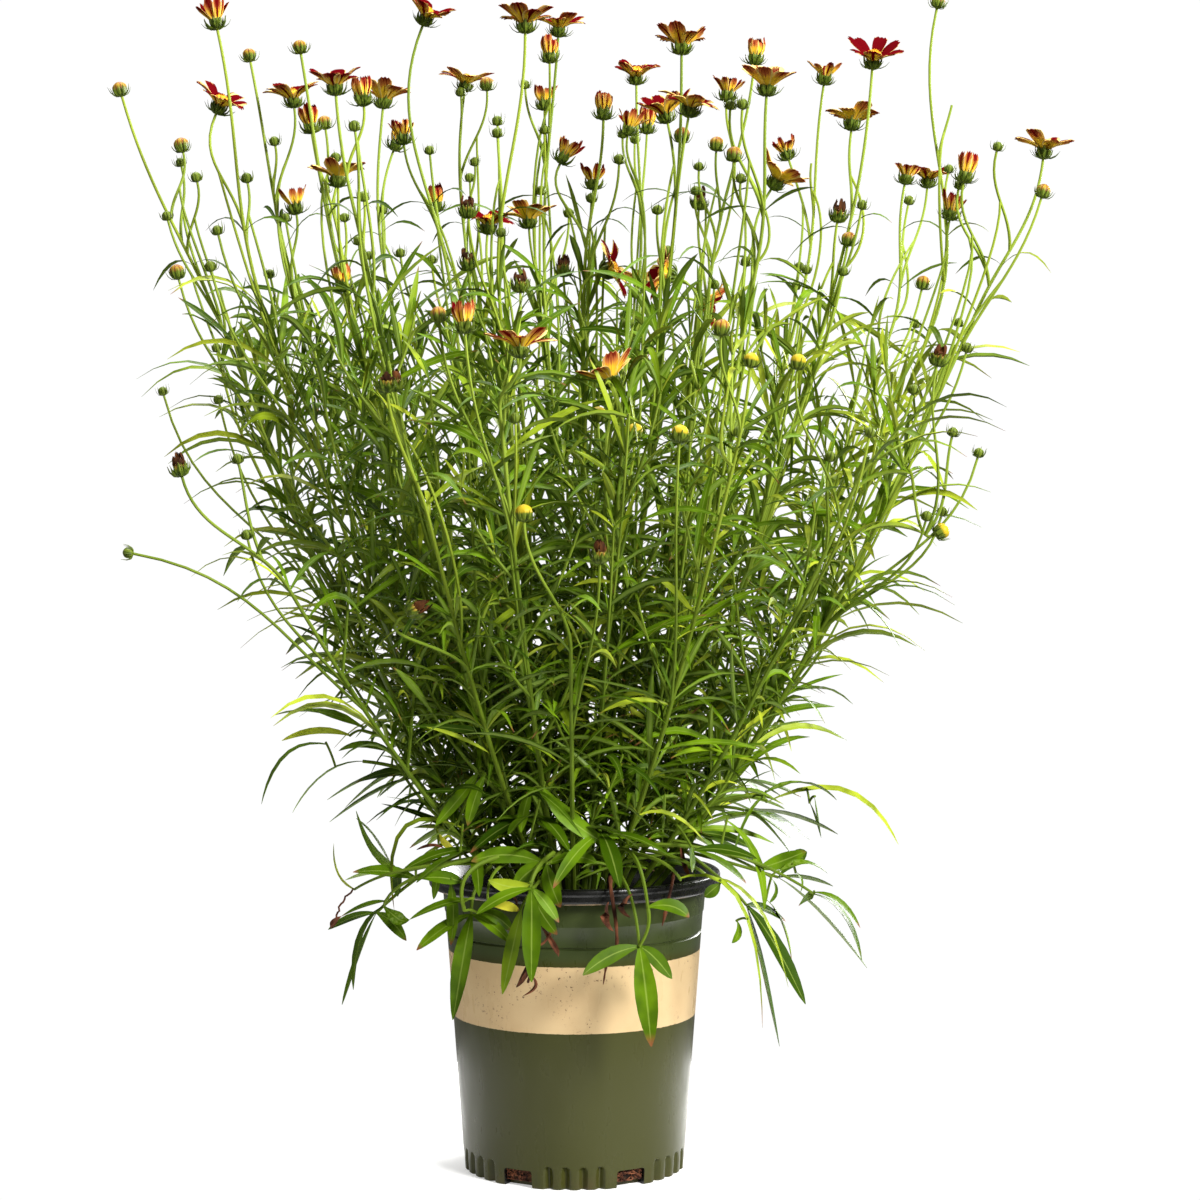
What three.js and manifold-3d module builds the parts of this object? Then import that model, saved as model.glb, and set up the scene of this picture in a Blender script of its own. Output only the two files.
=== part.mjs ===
// Coreopsis in a nursery pot: a fountain of stiff forking stems, narrow paired leaves, lobed lower
// leaves, buds, and daisy flowers of eight rays, growing from a crown in a filled plastic pot.
// Millimetres, +Z up. The origin is the middle of the pot's underside and -Y is the plant's front.

import * as THREE from 'three';
import Module from 'manifold-3d';

const wasm = await Module();
wasm.setup();

// ---------------------------------------------------------------- driving dimensions

const RIM_RADIUS = 85;          // outside of the pot's lip
const POT_HEIGHT = 173;
const POT_FOOT_RADIUS = 64;
const POT_WALL = 1.6;
const POT_FLOOR = 2.6;
const LIP_DEPTH = 9;
const FOOT_HEIGHT = 13;         // height of the fluted foot
const RIB_DEPTH = 1.1;
const DRAIN_SLOTS = 6;
const DRAIN_SLOT_WIDTH = 18;
const DRAIN_SLOT_HEIGHT = 10;
const RIBS_PER_SLOT = 5;
const POT_SIDES = 36;
const STEP_HEIGHT = 138;        // a small step round the wall
const STEP_DEPTH = 0.9;
const LIP_WIDTH = 4;

const SOIL_TOP = 150;
const SOIL_RELIEF = 1.6;        // half the height of its lumps
const SOIL_RINGS = [0.86, 0.66, 0.52];        // shares of its radius
const FIT_GAP = 0.35;           // room between pieces that touch

const CROWN_SHARE = 0.17;       // a stem's foot lies at this share of its fork's distance from the axis
const FOOT_DEPTH = 11;          // how deep a stem stands in the soil
const BEND_OUT = 0.45;          // where a stem turns upward: share of its reach ...
const BEND_UP = 0.3;            // ... and of its height
const STEM_RADIUS = [2.2, 1.5]; // at the crown and at the fork
const STALK_RADIUS = [1.15, 0.95];
const STEM_SIDES = 4;
const STALK_SIDES = 3;
const HEAD_SIDES = 4;
const LEADER_JOINTS = [0, 0.14, 0.28, 0.43, 0.59, 0.78, 1, 1.3, 1.65, 2]; // 1 is its fork, 2 its head
const LEAFY_JOINTS = [2, 3, 4, 5, 6, 7];

const RAY_COUNT = 8;
const RAY_ROOT = [3.6, 1, 1.5, 0];            // distance from the axis, half width, height, keel's height
const RAY_MIDDLE = [8.84, 2.67, 6.6, 5.6];
const RAY_END = [17, 2.48, 9.4, 8.6];
const DISC_TOP = 4.2;
const CUP_RADIUS = 4.4;
const CUP_HEIGHT = 6;

const LEAF_LENGTHS = [72, 50];  // at the crown and at the fork
const LEAF_HALF_WIDTH = 2.1;
const LEAF_KEEL = 0.9;          // thickness along the midrib
const LEAF_BELLY = 0.48;        // share of its length at which a leaf is widest
const LOBED_LEAVES = 16;        // round the crown, besides those laid by hand
const HANGING_ROOT_HEIGHT = 186;
const BASAL_ROOT_HEIGHTS = [172, 205];
const BASAL_REACHES = [70, 105];
const BASAL_HEIGHTS = [190, 245];
const BASAL_LOBE_LENGTHS = [38, 55];
const BASAL_HALF_WIDTHS = [3.8, 2.8]; // of the middle lobe and the side lobes
const UNOPENED_KEPT = 2;        // heads besides its flowers that a stem has here

const DEPTH_DRAWS = 60;         // tries at a head's depth, each spread a little wider
const DEPTH_SPREAD = 24;
const LEAF_DRAWS = 30;          // tries at a leaf, the later half of them with shorter leaves
const SHORTER_LEAF = 0.7;

const BEAD_STEP = 4;            // spacing of the beads that stand for a curve when room is measured
const AXIL = 12;                // a leaf may lie close to its own stem within this distance of its root
const ROOM = 2;                 // least distance kept between two stems' beads, beyond their radii

// ---------------------------------------------------------------- the plant's branches

// Places are [across, up] as read on a front elevation drawn in perspective from a point
// EYE_DISTANCE in front of the axis; `depth` is how far behind the axis a fork lies.
const EYE_DISTANCE = 1640;
const EYE_HEIGHT = 410;

// The first head of each stem is its leader. A lean tips a head to the right, in degrees; without
// one, a head leans outward by USUAL_LEAN degrees for each millimetre across.
const USUAL_LEAN = 0.06;
const STEMS = [
  { fork: [-200, 480], depth: 20, heads: [
    ['ripe', -260, 620], ['ripe', -225, 588], ['ripe', -228, 515],
    ['green', -234, 549], ['green', -226, 580], ['green', -217, 571]] },
  { fork: [-187, 415], depth: 125, heads: [
    ['green', -206, 474], ['green', -237, 449], ['green', -178, 474], ['green', -205, 444]] },
  { fork: [-177, 491], depth: -65, heads: [
    ['half', -205, 658], ['bloom', -206, 610, 24], ['green', -188, 570],
    ['green', -205, 540], ['green', -209, 519]] },
  { fork: [-165, 335], depth: -112, heads: [
    ['spent', -227, 401], ['green', -194, 408], ['green', -255, 356, -80], ['green', -189, 364]] },
  { fork: [-159, 503], depth: 55, heads: [
    ['ripe', -186, 640], ['bloom', -161, 614, -8], ['half', -160, 553],
    ['green', -172, 592], ['green', -175, 516], ['green', -166, 548]] },
  { fork: [-133, 509], depth: -25, heads: [
    ['ripe', -157, 644], ['ripe', -143, 601], ['half', -151, 599], ['bloom', -136, 568, 0],
    ['half', -133, 508], ['green', -137, 582], ['green', -143, 564], ['green', -132, 548]] },
  { fork: [-119, 520], depth: -120, heads: [
    ['bloom', -137, 620, -4], ['half', -121, 614], ['green', -126, 599],
    ['green', -121, 559], ['green', -124, 534]] },
  { fork: [-107, 509], depth: 100, heads: [
    ['bloom', -110, 614, 6], ['half', -104, 590, 20], ['ripe', -115, 486],
    ['green', -110, 553], ['green', -118, 527]] },
  { fork: [-84, 375], depth: -140, heads: [
    ['spent', -108, 449], ['spent', -103, 450], ['spent', -97, 321, 60]] },
  { fork: [-71, 509], depth: 25, heads: [
    ['bloom', -87, 661, 22], ['half', -98, 593], ['green', -83, 587],
    ['green', -100, 528], ['green', -82, 524]] },
  { fork: [-60, 514], depth: 150, heads: [
    ['bloom', -63, 624, 8], ['half', -79, 555], ['ripe', -50, 624],
    ['green', -65, 621], ['green', -57, 581], ['green', -60, 572]] },
  { fork: [-43, 503], depth: -75, heads: [
    ['bloom', -28, 656, 0], ['bloom', -50, 541, 6], ['spent', -61, 550], ['spent', -61, 520],
    ['green', -44, 603], ['green', -44, 596], ['green', -42, 539]] },
  { fork: [-43, 439], depth: -160, heads: [
    ['bloom', -31, 469, 0], ['spent', -31, 507], ['half', -63, 483], ['ripe', -78, 489],
    ['green', -34, 431]] },
  { fork: [-17, 520], depth: 75, heads: [
    ['bloom', -9, 655, 4], ['half', -14, 640], ['half', -17, 613], ['bloom', -26, 545, -3],
    ['green', -28, 625], ['green', -17, 599], ['green', -3, 551], ['green', -19, 564]] },
  { fork: [6, 514], depth: -15, heads: [
    ['half', 17, 607], ['half', -8, 582, 28], ['half', 11, 567], ['bloom', 15, 519, 74],
    ['spent', -6, 517], ['green', 10, 559], ['green', 26, 581]] },
  { fork: [-2, 300], depth: -150, heads: [
    ['ripe', -29, 374], ['spent', 15, 350]] },
  { fork: [26, 398], depth: -120, heads: [
    ['bloom', 23, 452, -20], ['ripe', 14, 432], ['ripe', 35, 422],
    ['green', 31, 486], ['green', 35, 504]] },
  { fork: [38, 520], depth: 130, heads: [
    ['bloom', 36, 628, 0], ['half', 31, 599, 12], ['half', 42, 600], ['bloom', 39, 510, 5],
    ['green', 28, 597], ['green', 35, 594], ['green', 54, 530]] },
  { fork: [56, 526], depth: -60, heads: [
    ['bloom', 62, 644, 0], ['bloom', 54, 605, -12], ['bloom', 66, 608, 10], ['ripe', 62, 593],
    ['green', 48, 552]] },
  { fork: [80, 525], depth: 55, heads: [
    ['half', 104, 639], ['half', 88, 618], ['bloom', 59, 517, -70], ['bloom', 70, 504, 110],
    ['ripe', 82, 589], ['spent', 72, 556], ['green', 72, 578], ['green', 70, 564],
    ['green', 81, 510]] },
  { fork: [90, 398], depth: -155, heads: [
    ['ripe', 102, 463], ['ripe', 85, 481], ['half', 61, 420], ['green', 95, 423]] },
  { fork: [106, 525], depth: -100, heads: [
    ['bloom', 111, 620, 4], ['bloom', 114, 567, 35], ['ripe', 92, 582], ['green', 90, 612],
    ['green', 97, 612], ['green', 96, 570], ['green', 99, 522]] },
  { fork: [131, 503], depth: 130, heads: [
    ['half', 144, 628], ['half', 124, 585, -18], ['cut', 137, 583], ['green', 128, 510],
    ['green', 130, 521], ['green', 134, 519]] },
  { fork: [148, 503], depth: -35, heads: [
    ['bloom', 172, 636, 4], ['bloom', 160, 601, 8], ['spent', 152, 548], ['ripe', 158, 534],
    ['green', 155, 517], ['green', 166, 555]] },
  { fork: [162, 393], depth: -125, heads: [
    ['green', 196, 448], ['ripe', 129, 462], ['green', 171, 423], ['green', 148, 409]] },
  { fork: [183, 485], depth: 115, heads: [
    ['half', 191, 571], ['bloom', 204, 569, 4], ['ripe', 201, 510], ['green', 193, 559],
    ['green', 197, 488], ['green', 177, 467]] },
  { fork: [192, 403], depth: -65, heads: [
    ['ripe', 209, 367, 60], ['spent', 210, 465], ['green', 219, 424], ['green', 234, 412],
    ['green', 204, 375], ['green', 213, 378]] },
  { fork: [206, 485], depth: 55, heads: [
    ['ripe', 209, 671], ['half', 217, 550], ['cut', 218, 616], ['green', 216, 577]] },
  { fork: [233, 497], depth: 0, heads: [
    ['bloom', 271, 585, 6], ['half', 225, 571], ['ripe', 270, 562], ['green', 222, 567],
    ['green', 244, 589], ['green', 222, 488], ['green', 227, 473]] },
];

// Lobed leaves that hang over the lip: [x, y, z] of the knot where the lobes meet, and of each
// lobe's tip with its half width; the petiole rises from the stem nearest to the knot.
const HANGING_LEAVES = [
  { knot: [-103, -22, 174], lobes: [[-125, -26, 206, 3], [-131, -30, 171, 3.4], [-99, -60, 166, 3]] },
  { knot: [-112, -48, 155], lobes: [[-131, -56, 104, 3.6], [-139, -52, 146, 2.6], [-94, -66, 142, 2.8]] },
  { knot: [-60, -82, 156], lobes: [[-71, -96, 85, 5.6], [-94, -86, 126, 4], [-42, -96, 128, 3]] },
  { knot: [-23, -104, 168], lobes: [[-27, -118, 105, 4.8], [-56, -112, 150, 3.4], [-6, -110, 142, 3]] },
  { knot: [32, -98, 164], lobes: [[48, -106, 69, 5.6], [6, -108, 110, 4], [66, -92, 142, 4]] },
  { knot: [92, -62, 160], lobes: [[109, -76, 82, 4], [126, -62, 103, 4], [117, -48, 148, 3.4]] },
  { knot: [118, -14, 170], lobes: [[168, -30, 120, 4.6], [135, -8, 184, 4], [149, -22, 166, 3.4]] },
];

// Dry brown stems that stand at the soil's edge and droop over the lip.
const WITHERED_STEMS = [
  [[19, -60, 141], [19, -60, 152], [19, -68, 172], [20, -80, 181], [20, -88, 175], [23, -90, 157],
    [24, -87, 141], [18, -86, 134], [16, -88, 121]],
  [[52, -44, 141], [52, -44, 152], [55, -52, 172], [56, -61, 181], [55, -70, 176], [52, -74, 164],
    [49, -72, 151]],
];
const WITHERED_RADIUS = 1.2;

// ---------------------------------------------------------------- small helpers

const UP = new THREE.Vector3(0, 0, 1);

// Repeatable draws between 0 and 1.
function drawsFrom(seed) {
  let state = seed >>> 0;
  return () => {
    state = (state + 0x6D2B79F5) >>> 0;
    let mixed = Math.imul(state ^ (state >>> 15), state | 1);
    mixed ^= mixed + Math.imul(mixed ^ (mixed >>> 7), mixed | 61);
    return ((mixed ^ (mixed >>> 14)) >>> 0) / 4294967296;
  };
}

const between = (low, high, share) => low + (high - low) * share;

const radians = (degrees) => degrees * Math.PI / 180;

// The point that is seen at [across, up] on the front elevation when it lies `depth` behind it.
function placed(across, up, depth) {
  const spread = (EYE_DISTANCE + depth) / EYE_DISTANCE;
  return new THREE.Vector3(across * spread, depth, EYE_HEIGHT + (up - EYE_HEIGHT) * spread);
}

// ---------------------------------------------------------------- solids

function solidFrom(vertices, faces) {
  let volume = 0;
  for (const [a, b, c] of faces) {
    volume += vertices[a].dot(new THREE.Vector3().crossVectors(vertices[b], vertices[c]));
  }
  const outward = volume > 0 ? faces : faces.map(([a, b, c]) => [a, c, b]);
  return new wasm.Manifold(new wasm.Mesh({
    numProp: 3,
    vertProperties: new Float32Array(vertices.flatMap((v) => [v.x, v.y, v.z])),
    triVerts: new Uint32Array(outward.flat()),
  }));
}

function geometryOf(solid) {
  const mesh = solid.getMesh();
  const geometry = new THREE.BufferGeometry();
  geometry.setAttribute('position', new THREE.BufferAttribute(mesh.vertProperties, 3));
  geometry.setIndex(new THREE.BufferAttribute(mesh.triVerts, 1));
  return geometry;
}

function fused(solids) {
  return solids.reduce((whole, next) => whole.add(next));
}

// Faces between two rings of vertices that start at the same angle, whatever their counts.
function bridge(faces, a, countA, b, countB) {
  let i = 0;
  let j = 0;
  while (i < countA || j < countB) {
    const stepA = i < countA && countA > 1 && ((i + 1) / countA <= (j + 1) / countB || j >= countB);
    if (stepA) {
      faces.push([a + i, a + (i + 1) % countA, b + j % countB]);
      i += 1;
    } else {
      if (j >= countB || countB === 1) break;
      faces.push([a + i % countA, b + (j + 1) % countB, b + j]);
      j += 1;
    }
  }
}

// Carries a three-cornered opening on through sections of three points, to a tip or a flat end.
function arm(vertices, faces, opening, sections, tip) {
  let from = opening;
  for (const section of sections) {
    const to = section.map((point) => vertices.push(point) - 1);
    for (let k = 0; k < 3; k += 1) {
      const next = (k + 1) % 3;
      faces.push([from[k], from[next], to[next]], [from[k], to[next], to[k]]);
    }
    from = to;
  }
  if (!tip) {
    faces.push(from);
    return;
  }
  const end = vertices.push(tip) - 1;
  for (let k = 0; k < 3; k += 1) faces.push([from[k], from[(k + 1) % 3], end]);
}

// The sides between two rings of four, with a leaf growing from the upper edge of some of them.
function leafySides(vertices, faces, low, high, leaves) {
  for (let k = 0; k < 4; k += 1) {
    const next = (k + 1) % 4;
    const leaf = leaves.find(({ side }) => side === k);
    if (!leaf) {
      faces.push([low + k, low + next, high + next], [low + k, high + next, high + k]);
      continue;
    }
    const edge = vertices[high + k].clone().lerp(vertices[high + next], 0.5);
    const under = vertices[low + k].clone().lerp(vertices[low + next], 0.5);
    const keel = vertices.push(edge.lerp(under, 1.3 / edge.distanceTo(under))) - 1;
    faces.push([low + k, low + next, keel], [low + next, high + next, keel], [keel, high + k, low + k]);
    arm(vertices, faces, [keel, high + next, high + k], [leaf.section], leaf.tip);
  }
}

// A closed skin through rings of points; a ring of one point is a tip.
function loft(rings, leaves = []) {
  const vertices = rings.flat();
  const faces = [];
  let start = 0;
  for (let n = 0; n + 1 < rings.length; n += 1) {
    const next = start + rings[n].length;
    const here = leaves.filter(({ joint }) => joint === n + 1);
    if (here.length) leafySides(vertices, faces, start, next, here);
    else bridge(faces, start, rings[n].length, next, rings[n + 1].length);
    start = next;
  }
  const last = rings[rings.length - 1].length;
  for (let k = 1; k + 1 < rings[0].length; k += 1) faces.push([0, k + 1, k]);
  for (let k = 1; k + 1 < last; k += 1) faces.push([start, start + k, start + k + 1]);
  return solidFrom(vertices, faces);
}

// Points with the direction of travel and two steady cross directions at each.
function framesAlong(points) {
  let side = null;
  return points.map((point, n) => {
    const before = points[Math.max(n - 1, 0)];
    const after = points[Math.min(n + 1, points.length - 1)];
    const along = after.clone().sub(before).normalize();
    if (!side) side = Math.abs(along.y) < 0.9 ? new THREE.Vector3(0, 1, 0) : new THREE.Vector3(1, 0, 0);
    side = side.clone().addScaledVector(along, -side.dot(along)).normalize();
    return { point, along, side, other: new THREE.Vector3().crossVectors(along, side) };
  });
}

// The same frame, turned to travel in another direction.
function turnedTo(frame, along) {
  const side = frame.side.clone().addScaledVector(along, -frame.side.dot(along)).normalize();
  return { point: frame.point, along, side, other: new THREE.Vector3().crossVectors(along, side) };
}

function ringIn(frame, radius, count, rise = 0) {
  const ring = [];
  for (let k = 0; k < count; k += 1) {
    const angle = 2 * Math.PI * k / count;
    const reach = Array.isArray(radius) ? radius[k % radius.length] : radius;
    ring.push(frame.point.clone()
      .addScaledVector(frame.along, rise)
      .addScaledVector(frame.side, reach * Math.cos(angle))
      .addScaledVector(frame.other, reach * Math.sin(angle)));
  }
  return ring;
}

// ---------------------------------------------------------------- pot and soil

// Angles round the pot: two for each drain slot's edges, and a hollow and a crest for each rib.
function potAngles() {
  const angles = [];
  const slotAngle = DRAIN_SLOT_WIDTH / POT_FOOT_RADIUS;
  const sector = 2 * Math.PI / DRAIN_SLOTS;
  const ribAngle = (sector - slotAngle) / RIBS_PER_SLOT;
  for (let slot = 0; slot < DRAIN_SLOTS; slot += 1) {
    const start = -Math.PI / 2 + (slot + 0.5) * sector - slotAngle / 2;
    angles.push({ at: start, crest: false });
    for (let rib = 0; rib < RIBS_PER_SLOT; rib += 1) {
      angles.push({ at: start + slotAngle + rib * ribAngle, crest: false });
      angles.push({ at: start + slotAngle + (rib + 0.5) * ribAngle, crest: true });
    }
  }
  return angles;
}

function roundRing(radius, z, angles) {
  return angles.map(({ at }) => new THREE.Vector3(radius * Math.cos(at), radius * Math.sin(at), z));
}

function flutedRing(radius, z, angles) {
  return angles.map(({ at, crest }) => {
    const reach = crest ? radius : radius - RIB_DEPTH;
    return new THREE.Vector3(reach * Math.cos(at), reach * Math.sin(at), z);
  });
}

// The wall leans outward evenly from the foot to the lip.
const wallRadius = (z) => between(POT_FOOT_RADIUS, RIM_RADIUS - 9, z / (POT_HEIGHT - LIP_DEPTH));

// Evenly spread angles that start where the fluted foot's do.
function evenAngles(count) {
  const start = potAngles()[0].at;
  return Array.from({ length: count }, (_, n) => ({ at: start + 2 * Math.PI * n / count, crest: false }));
}

function pot() {
  const angles = potAngles();
  const plain = evenAngles(POT_SIDES);
  const lipFoot = POT_HEIGHT - LIP_DEPTH;
  const inside = (z) => wallRadius(z) - POT_WALL;
  const shell = loft([
    [new THREE.Vector3(0, 0, 0)],
    flutedRing(POT_FOOT_RADIUS, 0, angles),
    flutedRing(wallRadius(FOOT_HEIGHT), FOOT_HEIGHT, angles),
    roundRing(wallRadius(FOOT_HEIGHT + 2), FOOT_HEIGHT + 2, plain),
    roundRing(wallRadius(STEP_HEIGHT) - STEP_DEPTH, STEP_HEIGHT, plain),
    roundRing(wallRadius(STEP_HEIGHT + 1), STEP_HEIGHT + 1, plain),
    roundRing(wallRadius(lipFoot), lipFoot, plain),
    roundRing(RIM_RADIUS - 1, lipFoot + 1, plain),
    roundRing(RIM_RADIUS, lipFoot + 5, plain),
    roundRing(RIM_RADIUS - 1.6, POT_HEIGHT, plain),
    roundRing(RIM_RADIUS - LIP_WIDTH, POT_HEIGHT, plain),
    roundRing(inside(lipFoot), lipFoot, plain),
    roundRing(inside(POT_FLOOR), POT_FLOOR, evenAngles(POT_SIDES / 2)),
    [new THREE.Vector3(0, 0, POT_FLOOR)],
  ]);
  const slots = [];
  for (let slot = 0; slot < DRAIN_SLOTS; slot += 1) {
    const box = new THREE.BoxGeometry(24, DRAIN_SLOT_WIDTH, 2 * DRAIN_SLOT_HEIGHT);
    box.translate(POT_FOOT_RADIUS + 5, 0, 0);
    box.rotateZ(-Math.PI / 2 + (slot + 0.5) * 2 * Math.PI / DRAIN_SLOTS);
    slots.push(boxSolid(box));
  }
  return slots.reduce((whole, slot) => whole.subtract(slot), shell);
}

// A BoxGeometry keeps four corners to a face; here they are merged to the box's own eight.
function boxSolid(box) {
  const corners = [];
  const place = box.getAttribute('position');
  const merged = Array.from({ length: place.count }, (_, n) => {
    const corner = new THREE.Vector3().fromBufferAttribute(place, n);
    const known = corners.findIndex((other) => other.distanceTo(corner) < 1e-3);
    if (known >= 0) return known;
    corners.push(corner);
    return corners.length - 1;
  });
  const index = Array.from(box.getIndex().array, (n) => merged[n]);
  const faces = [];
  for (let n = 0; n < index.length; n += 3) faces.push(index.slice(n, n + 3));
  return solidFrom(corners, faces);
}

function soil(feet) {
  const angles = evenAngles(POT_SIDES / 2);
  const radius = (z) => wallRadius(z) - POT_WALL - FIT_GAP;
  const draw = drawsFrom(7);
  const low = POT_FLOOR + FIT_GAP;
  const rings = [
    roundRing(radius(low), low, angles),
    roundRing(radius(SOIL_TOP - 3), SOIL_TOP - 3, angles),
  ];
  for (const share of SOIL_RINGS) {
    rings.push(angles.map(({ at }) => {
      const reach = radius(SOIL_TOP) * share * between(0.94, 1.06, draw());
      const z = SOIL_TOP + SOIL_RELIEF * between(-1, 1, draw());
      return new THREE.Vector3(reach * Math.cos(at), reach * Math.sin(at), z);
    }));
  }
  rings.push([new THREE.Vector3(0, 0, SOIL_TOP)]);
  const holes = feet.map(({ point, radius: footRadius }) => {
    const bottom = { point, along: UP, side: new THREE.Vector3(0, 1, 0), other: new THREE.Vector3(-1, 0, 0) };
    return loft([
      ringIn(bottom, footRadius + 2 * FIT_GAP, STEM_SIDES, -FIT_GAP),
      ringIn(bottom, footRadius + 2 * FIT_GAP, STEM_SIDES, FOOT_DEPTH + 10),
    ]);
  });
  return holes.reduce((whole, hole) => whole.subtract(hole), loft(rings));
}

// ---------------------------------------------------------------- room between stems

const beads = [];

// Beads every few millimetres along a run of points, fine enough that crossings show.
function beadsAlong(points, radii) {
  const radiusAt = (n) => (Array.isArray(radii) ? radii[n] : radii);
  const row = [];
  for (let n = 0; n + 1 < points.length; n += 1) {
    const steps = Math.max(1, Math.ceil(points[n].distanceTo(points[n + 1]) / BEAD_STEP));
    for (let k = 0; k < steps; k += 1) {
      const at = points[n].clone().lerp(points[n + 1], k / steps);
      row.push({ at, radius: between(radiusAt(n), radiusAt(n + 1), k / steps) });
    }
  }
  row.push({ at: points[points.length - 1], radius: radiusAt(points.length - 1) });
  return row;
}

// Room to spare between a row of beads and every other owner's.
function roomFor(row, owner) {
  let least = Infinity;
  for (const bead of row) {
    least = Math.min(least, roomFromPot(bead));
    for (const other of beads) {
      if (other.owner === owner) continue;
      least = Math.min(least, bead.at.distanceTo(other.at) - bead.radius - other.radius - ROOM);
    }
  }
  return least;
}

// Above the lip, outside it, or inside the wall and above the soil.
function roomFromPot({ at, radius }) {
  const reach = Math.hypot(at.x, at.y);
  const above = at.z - POT_HEIGHT - 1.5;
  const outside = reach - RIM_RADIUS - 1.5;
  const within = Math.min(RIM_RADIUS - 16 - reach, at.z - SOIL_TOP - SOIL_RELIEF - 1);
  return Math.max(above, outside, within) - Math.min(radius, 1.5);
}

// Room for a leaf: from other stems along all of it, and from its own stem beyond its axil.
function roomForLeaf(row, root, owner) {
  return Math.min(roomFor(row, owner), roomFor(row.filter(({ at }) => at.distanceTo(root) > AXIL), null));
}

function keep(row, owner) {
  for (const bead of row) beads.push({ ...bead, owner });
}

// ---------------------------------------------------------------- stems and stalks

const headFacing = ({ lean }) => new THREE.Vector3(Math.sin(radians(lean)), 0, Math.cos(radians(lean)));

// A stem rises from the crown, bends upward to its fork, and goes on to its leading head.
function leaderCurve(stem) {
  const fork = placed(stem.fork[0], stem.fork[1], stem.depth);
  const foot = new THREE.Vector3(fork.x * CROWN_SHARE, fork.y * CROWN_SHARE, SOIL_TOP + 3);
  const bend = new THREE.Vector3(
    between(foot.x, fork.x, BEND_OUT), between(foot.y, fork.y, BEND_OUT), between(foot.z, fork.z, BEND_UP));
  const lower = new THREE.QuadraticBezierCurve3(foot, bend, fork);
  const head = stem.heads[0];
  head.at = placed(head.across, head.up, stem.depth * 1.12);
  const upper = stalkCurve(fork, fork.clone().sub(bend).normalize(), head.at, headFacing(head));
  const points = LEADER_JOINTS.map((share) => {
    return share <= 1 ? lower.getPoint(share) : upper.getPoint(share - 1);
  });
  const pointAt = (share) => {
    const next = Math.max(1, LEADER_JOINTS.findIndex((joint) => joint >= share));
    const [low, high] = [LEADER_JOINTS[next - 1], LEADER_JOINTS[next]];
    return points[next - 1].clone().lerp(points[next], (share - low) / (high - low));
  };
  return { foot, points, pointAt };
}

function stalkCurve(from, leaving, to, facing) {
  const reach = from.distanceTo(to) * 0.4;
  return new THREE.CubicBezierCurve3(
    from, from.clone().addScaledVector(leaving, reach),
    to.clone().addScaledVector(facing, -reach), to);
}

// The highest place on the leader from which a head can be reached on a steep stalk.
function branchPoint(leader, head) {
  for (let share = 1.85; share > 0.55; share -= 0.05) {
    const point = leader.pointAt(share);
    const run = Math.hypot(head.x - point.x, head.y - point.y);
    if (head.z - point.z >= 20 + 1.35 * run) return share;
  }
  return 0.72;
}

const BUD_SIZES = { green: 3.2, ripe: 4.8, half: 5, spent: 4, bloom: 4.5, cut: 1 };

// Beads of a flower: one on each ray's middle and tip.
function bloomBeads(at, facing) {
  const frame = framesAlong([at.clone().sub(facing), at.clone().add(facing)])[1];
  const row = [{ at: at.clone(), radius: 4 }];
  for (let ray = 0; ray < RAY_COUNT; ray += 1) {
    const angle = 2 * Math.PI * ray / RAY_COUNT;
    for (const [reach, rise] of [[6, 4], [10, 7], [15, 9]]) {
      row.push({
        at: at.clone().addScaledVector(facing, rise)
          .addScaledVector(frame.side, reach * Math.cos(angle))
          .addScaledVector(frame.other, reach * Math.sin(angle)),
        radius: 3,
      });
    }
  }
  return row;
}

// A head's depth isn't fixed by the elevation: it is the first draw whose stalk has room.
function branchTo(stem, head, owner, draw) {
  let best = null;
  for (let attempt = 0; attempt < DEPTH_DRAWS; attempt += 1) {
    const offset = between(-1, 1, draw()) * (DEPTH_SPREAD + attempt);
    const at = placed(head.across, head.up, stem.depth * 1.06 + offset);
    const share = branchPoint(stem.leader, at);
    const from = stem.leader.pointAt(share);
    const along = stem.leader.pointAt(share + 0.02).sub(from).normalize();
    const leaving = at.clone().sub(from).normalize().lerp(along, 0.3).normalize();
    const curve = stalkCurve(from, leaving, at, headFacing(head));
    const points = curve.getPoints(3);
    const row = beadsAlong(points, STALK_RADIUS[0]).slice(1);
    row.push({ at, radius: BUD_SIZES[head.kind] });
    let room = roomFor(row, owner);
    const flower = head.kind === 'bloom' ? bloomBeads(at, headFacing(head)) : [];
    if (flower.length) room = Math.min(room, roomFor(flower, `${owner} flower`));
    if (!best || room > best.room) best = { at, points, row, room, flower, share };
    if (room > 0) break;
  }
  return best;
}

// ---------------------------------------------------------------- heads

// The calyx at a stalk's end, with its ring of spreading outer bracts, by kind. Each row is
// [radius, height], and a pair of radii makes a star.
const HEAD_PROFILES = {
  cut: [],
  green: [[3.1, 2], [2.4, 4.6], [0, 6]],
  ripe: [[[8.5, 2.6], 1.6], [4.8, 4.2], [0, 9]],
  half: [[[8, 2.6], 1.6], [5, 5], [5.4, 12], [0, 16]],
  spent: [[3.6, 2], [[5.4, 3.4], 6], [2, 8.5]],
  bloom: [[[8.5, 2.8], 1.6], [CUP_RADIUS, CUP_HEIGHT]],
};

function headRings(kind, frame) {
  return HEAD_PROFILES[kind].map(([radius, height]) => {
    const count = Array.isArray(radius) ? 2 * HEAD_SIDES : HEAD_SIDES;
    return ringIn(frame, radius, radius === 0 ? 1 : count, height);
  });
}

// A stalk and the head on it, in one skin.
function stalkWithHead(points, kind, facing) {
  const frames = framesAlong(points);
  const rings = frames.map((frame, n) => {
    const radius = between(STALK_RADIUS[0], STALK_RADIUS[1], n / (frames.length - 1));
    return ringIn(frame, radius, STALK_SIDES);
  });
  return loft([...rings, ...headRings(kind, turnedTo(frames[frames.length - 1], facing))]);
}

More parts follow.
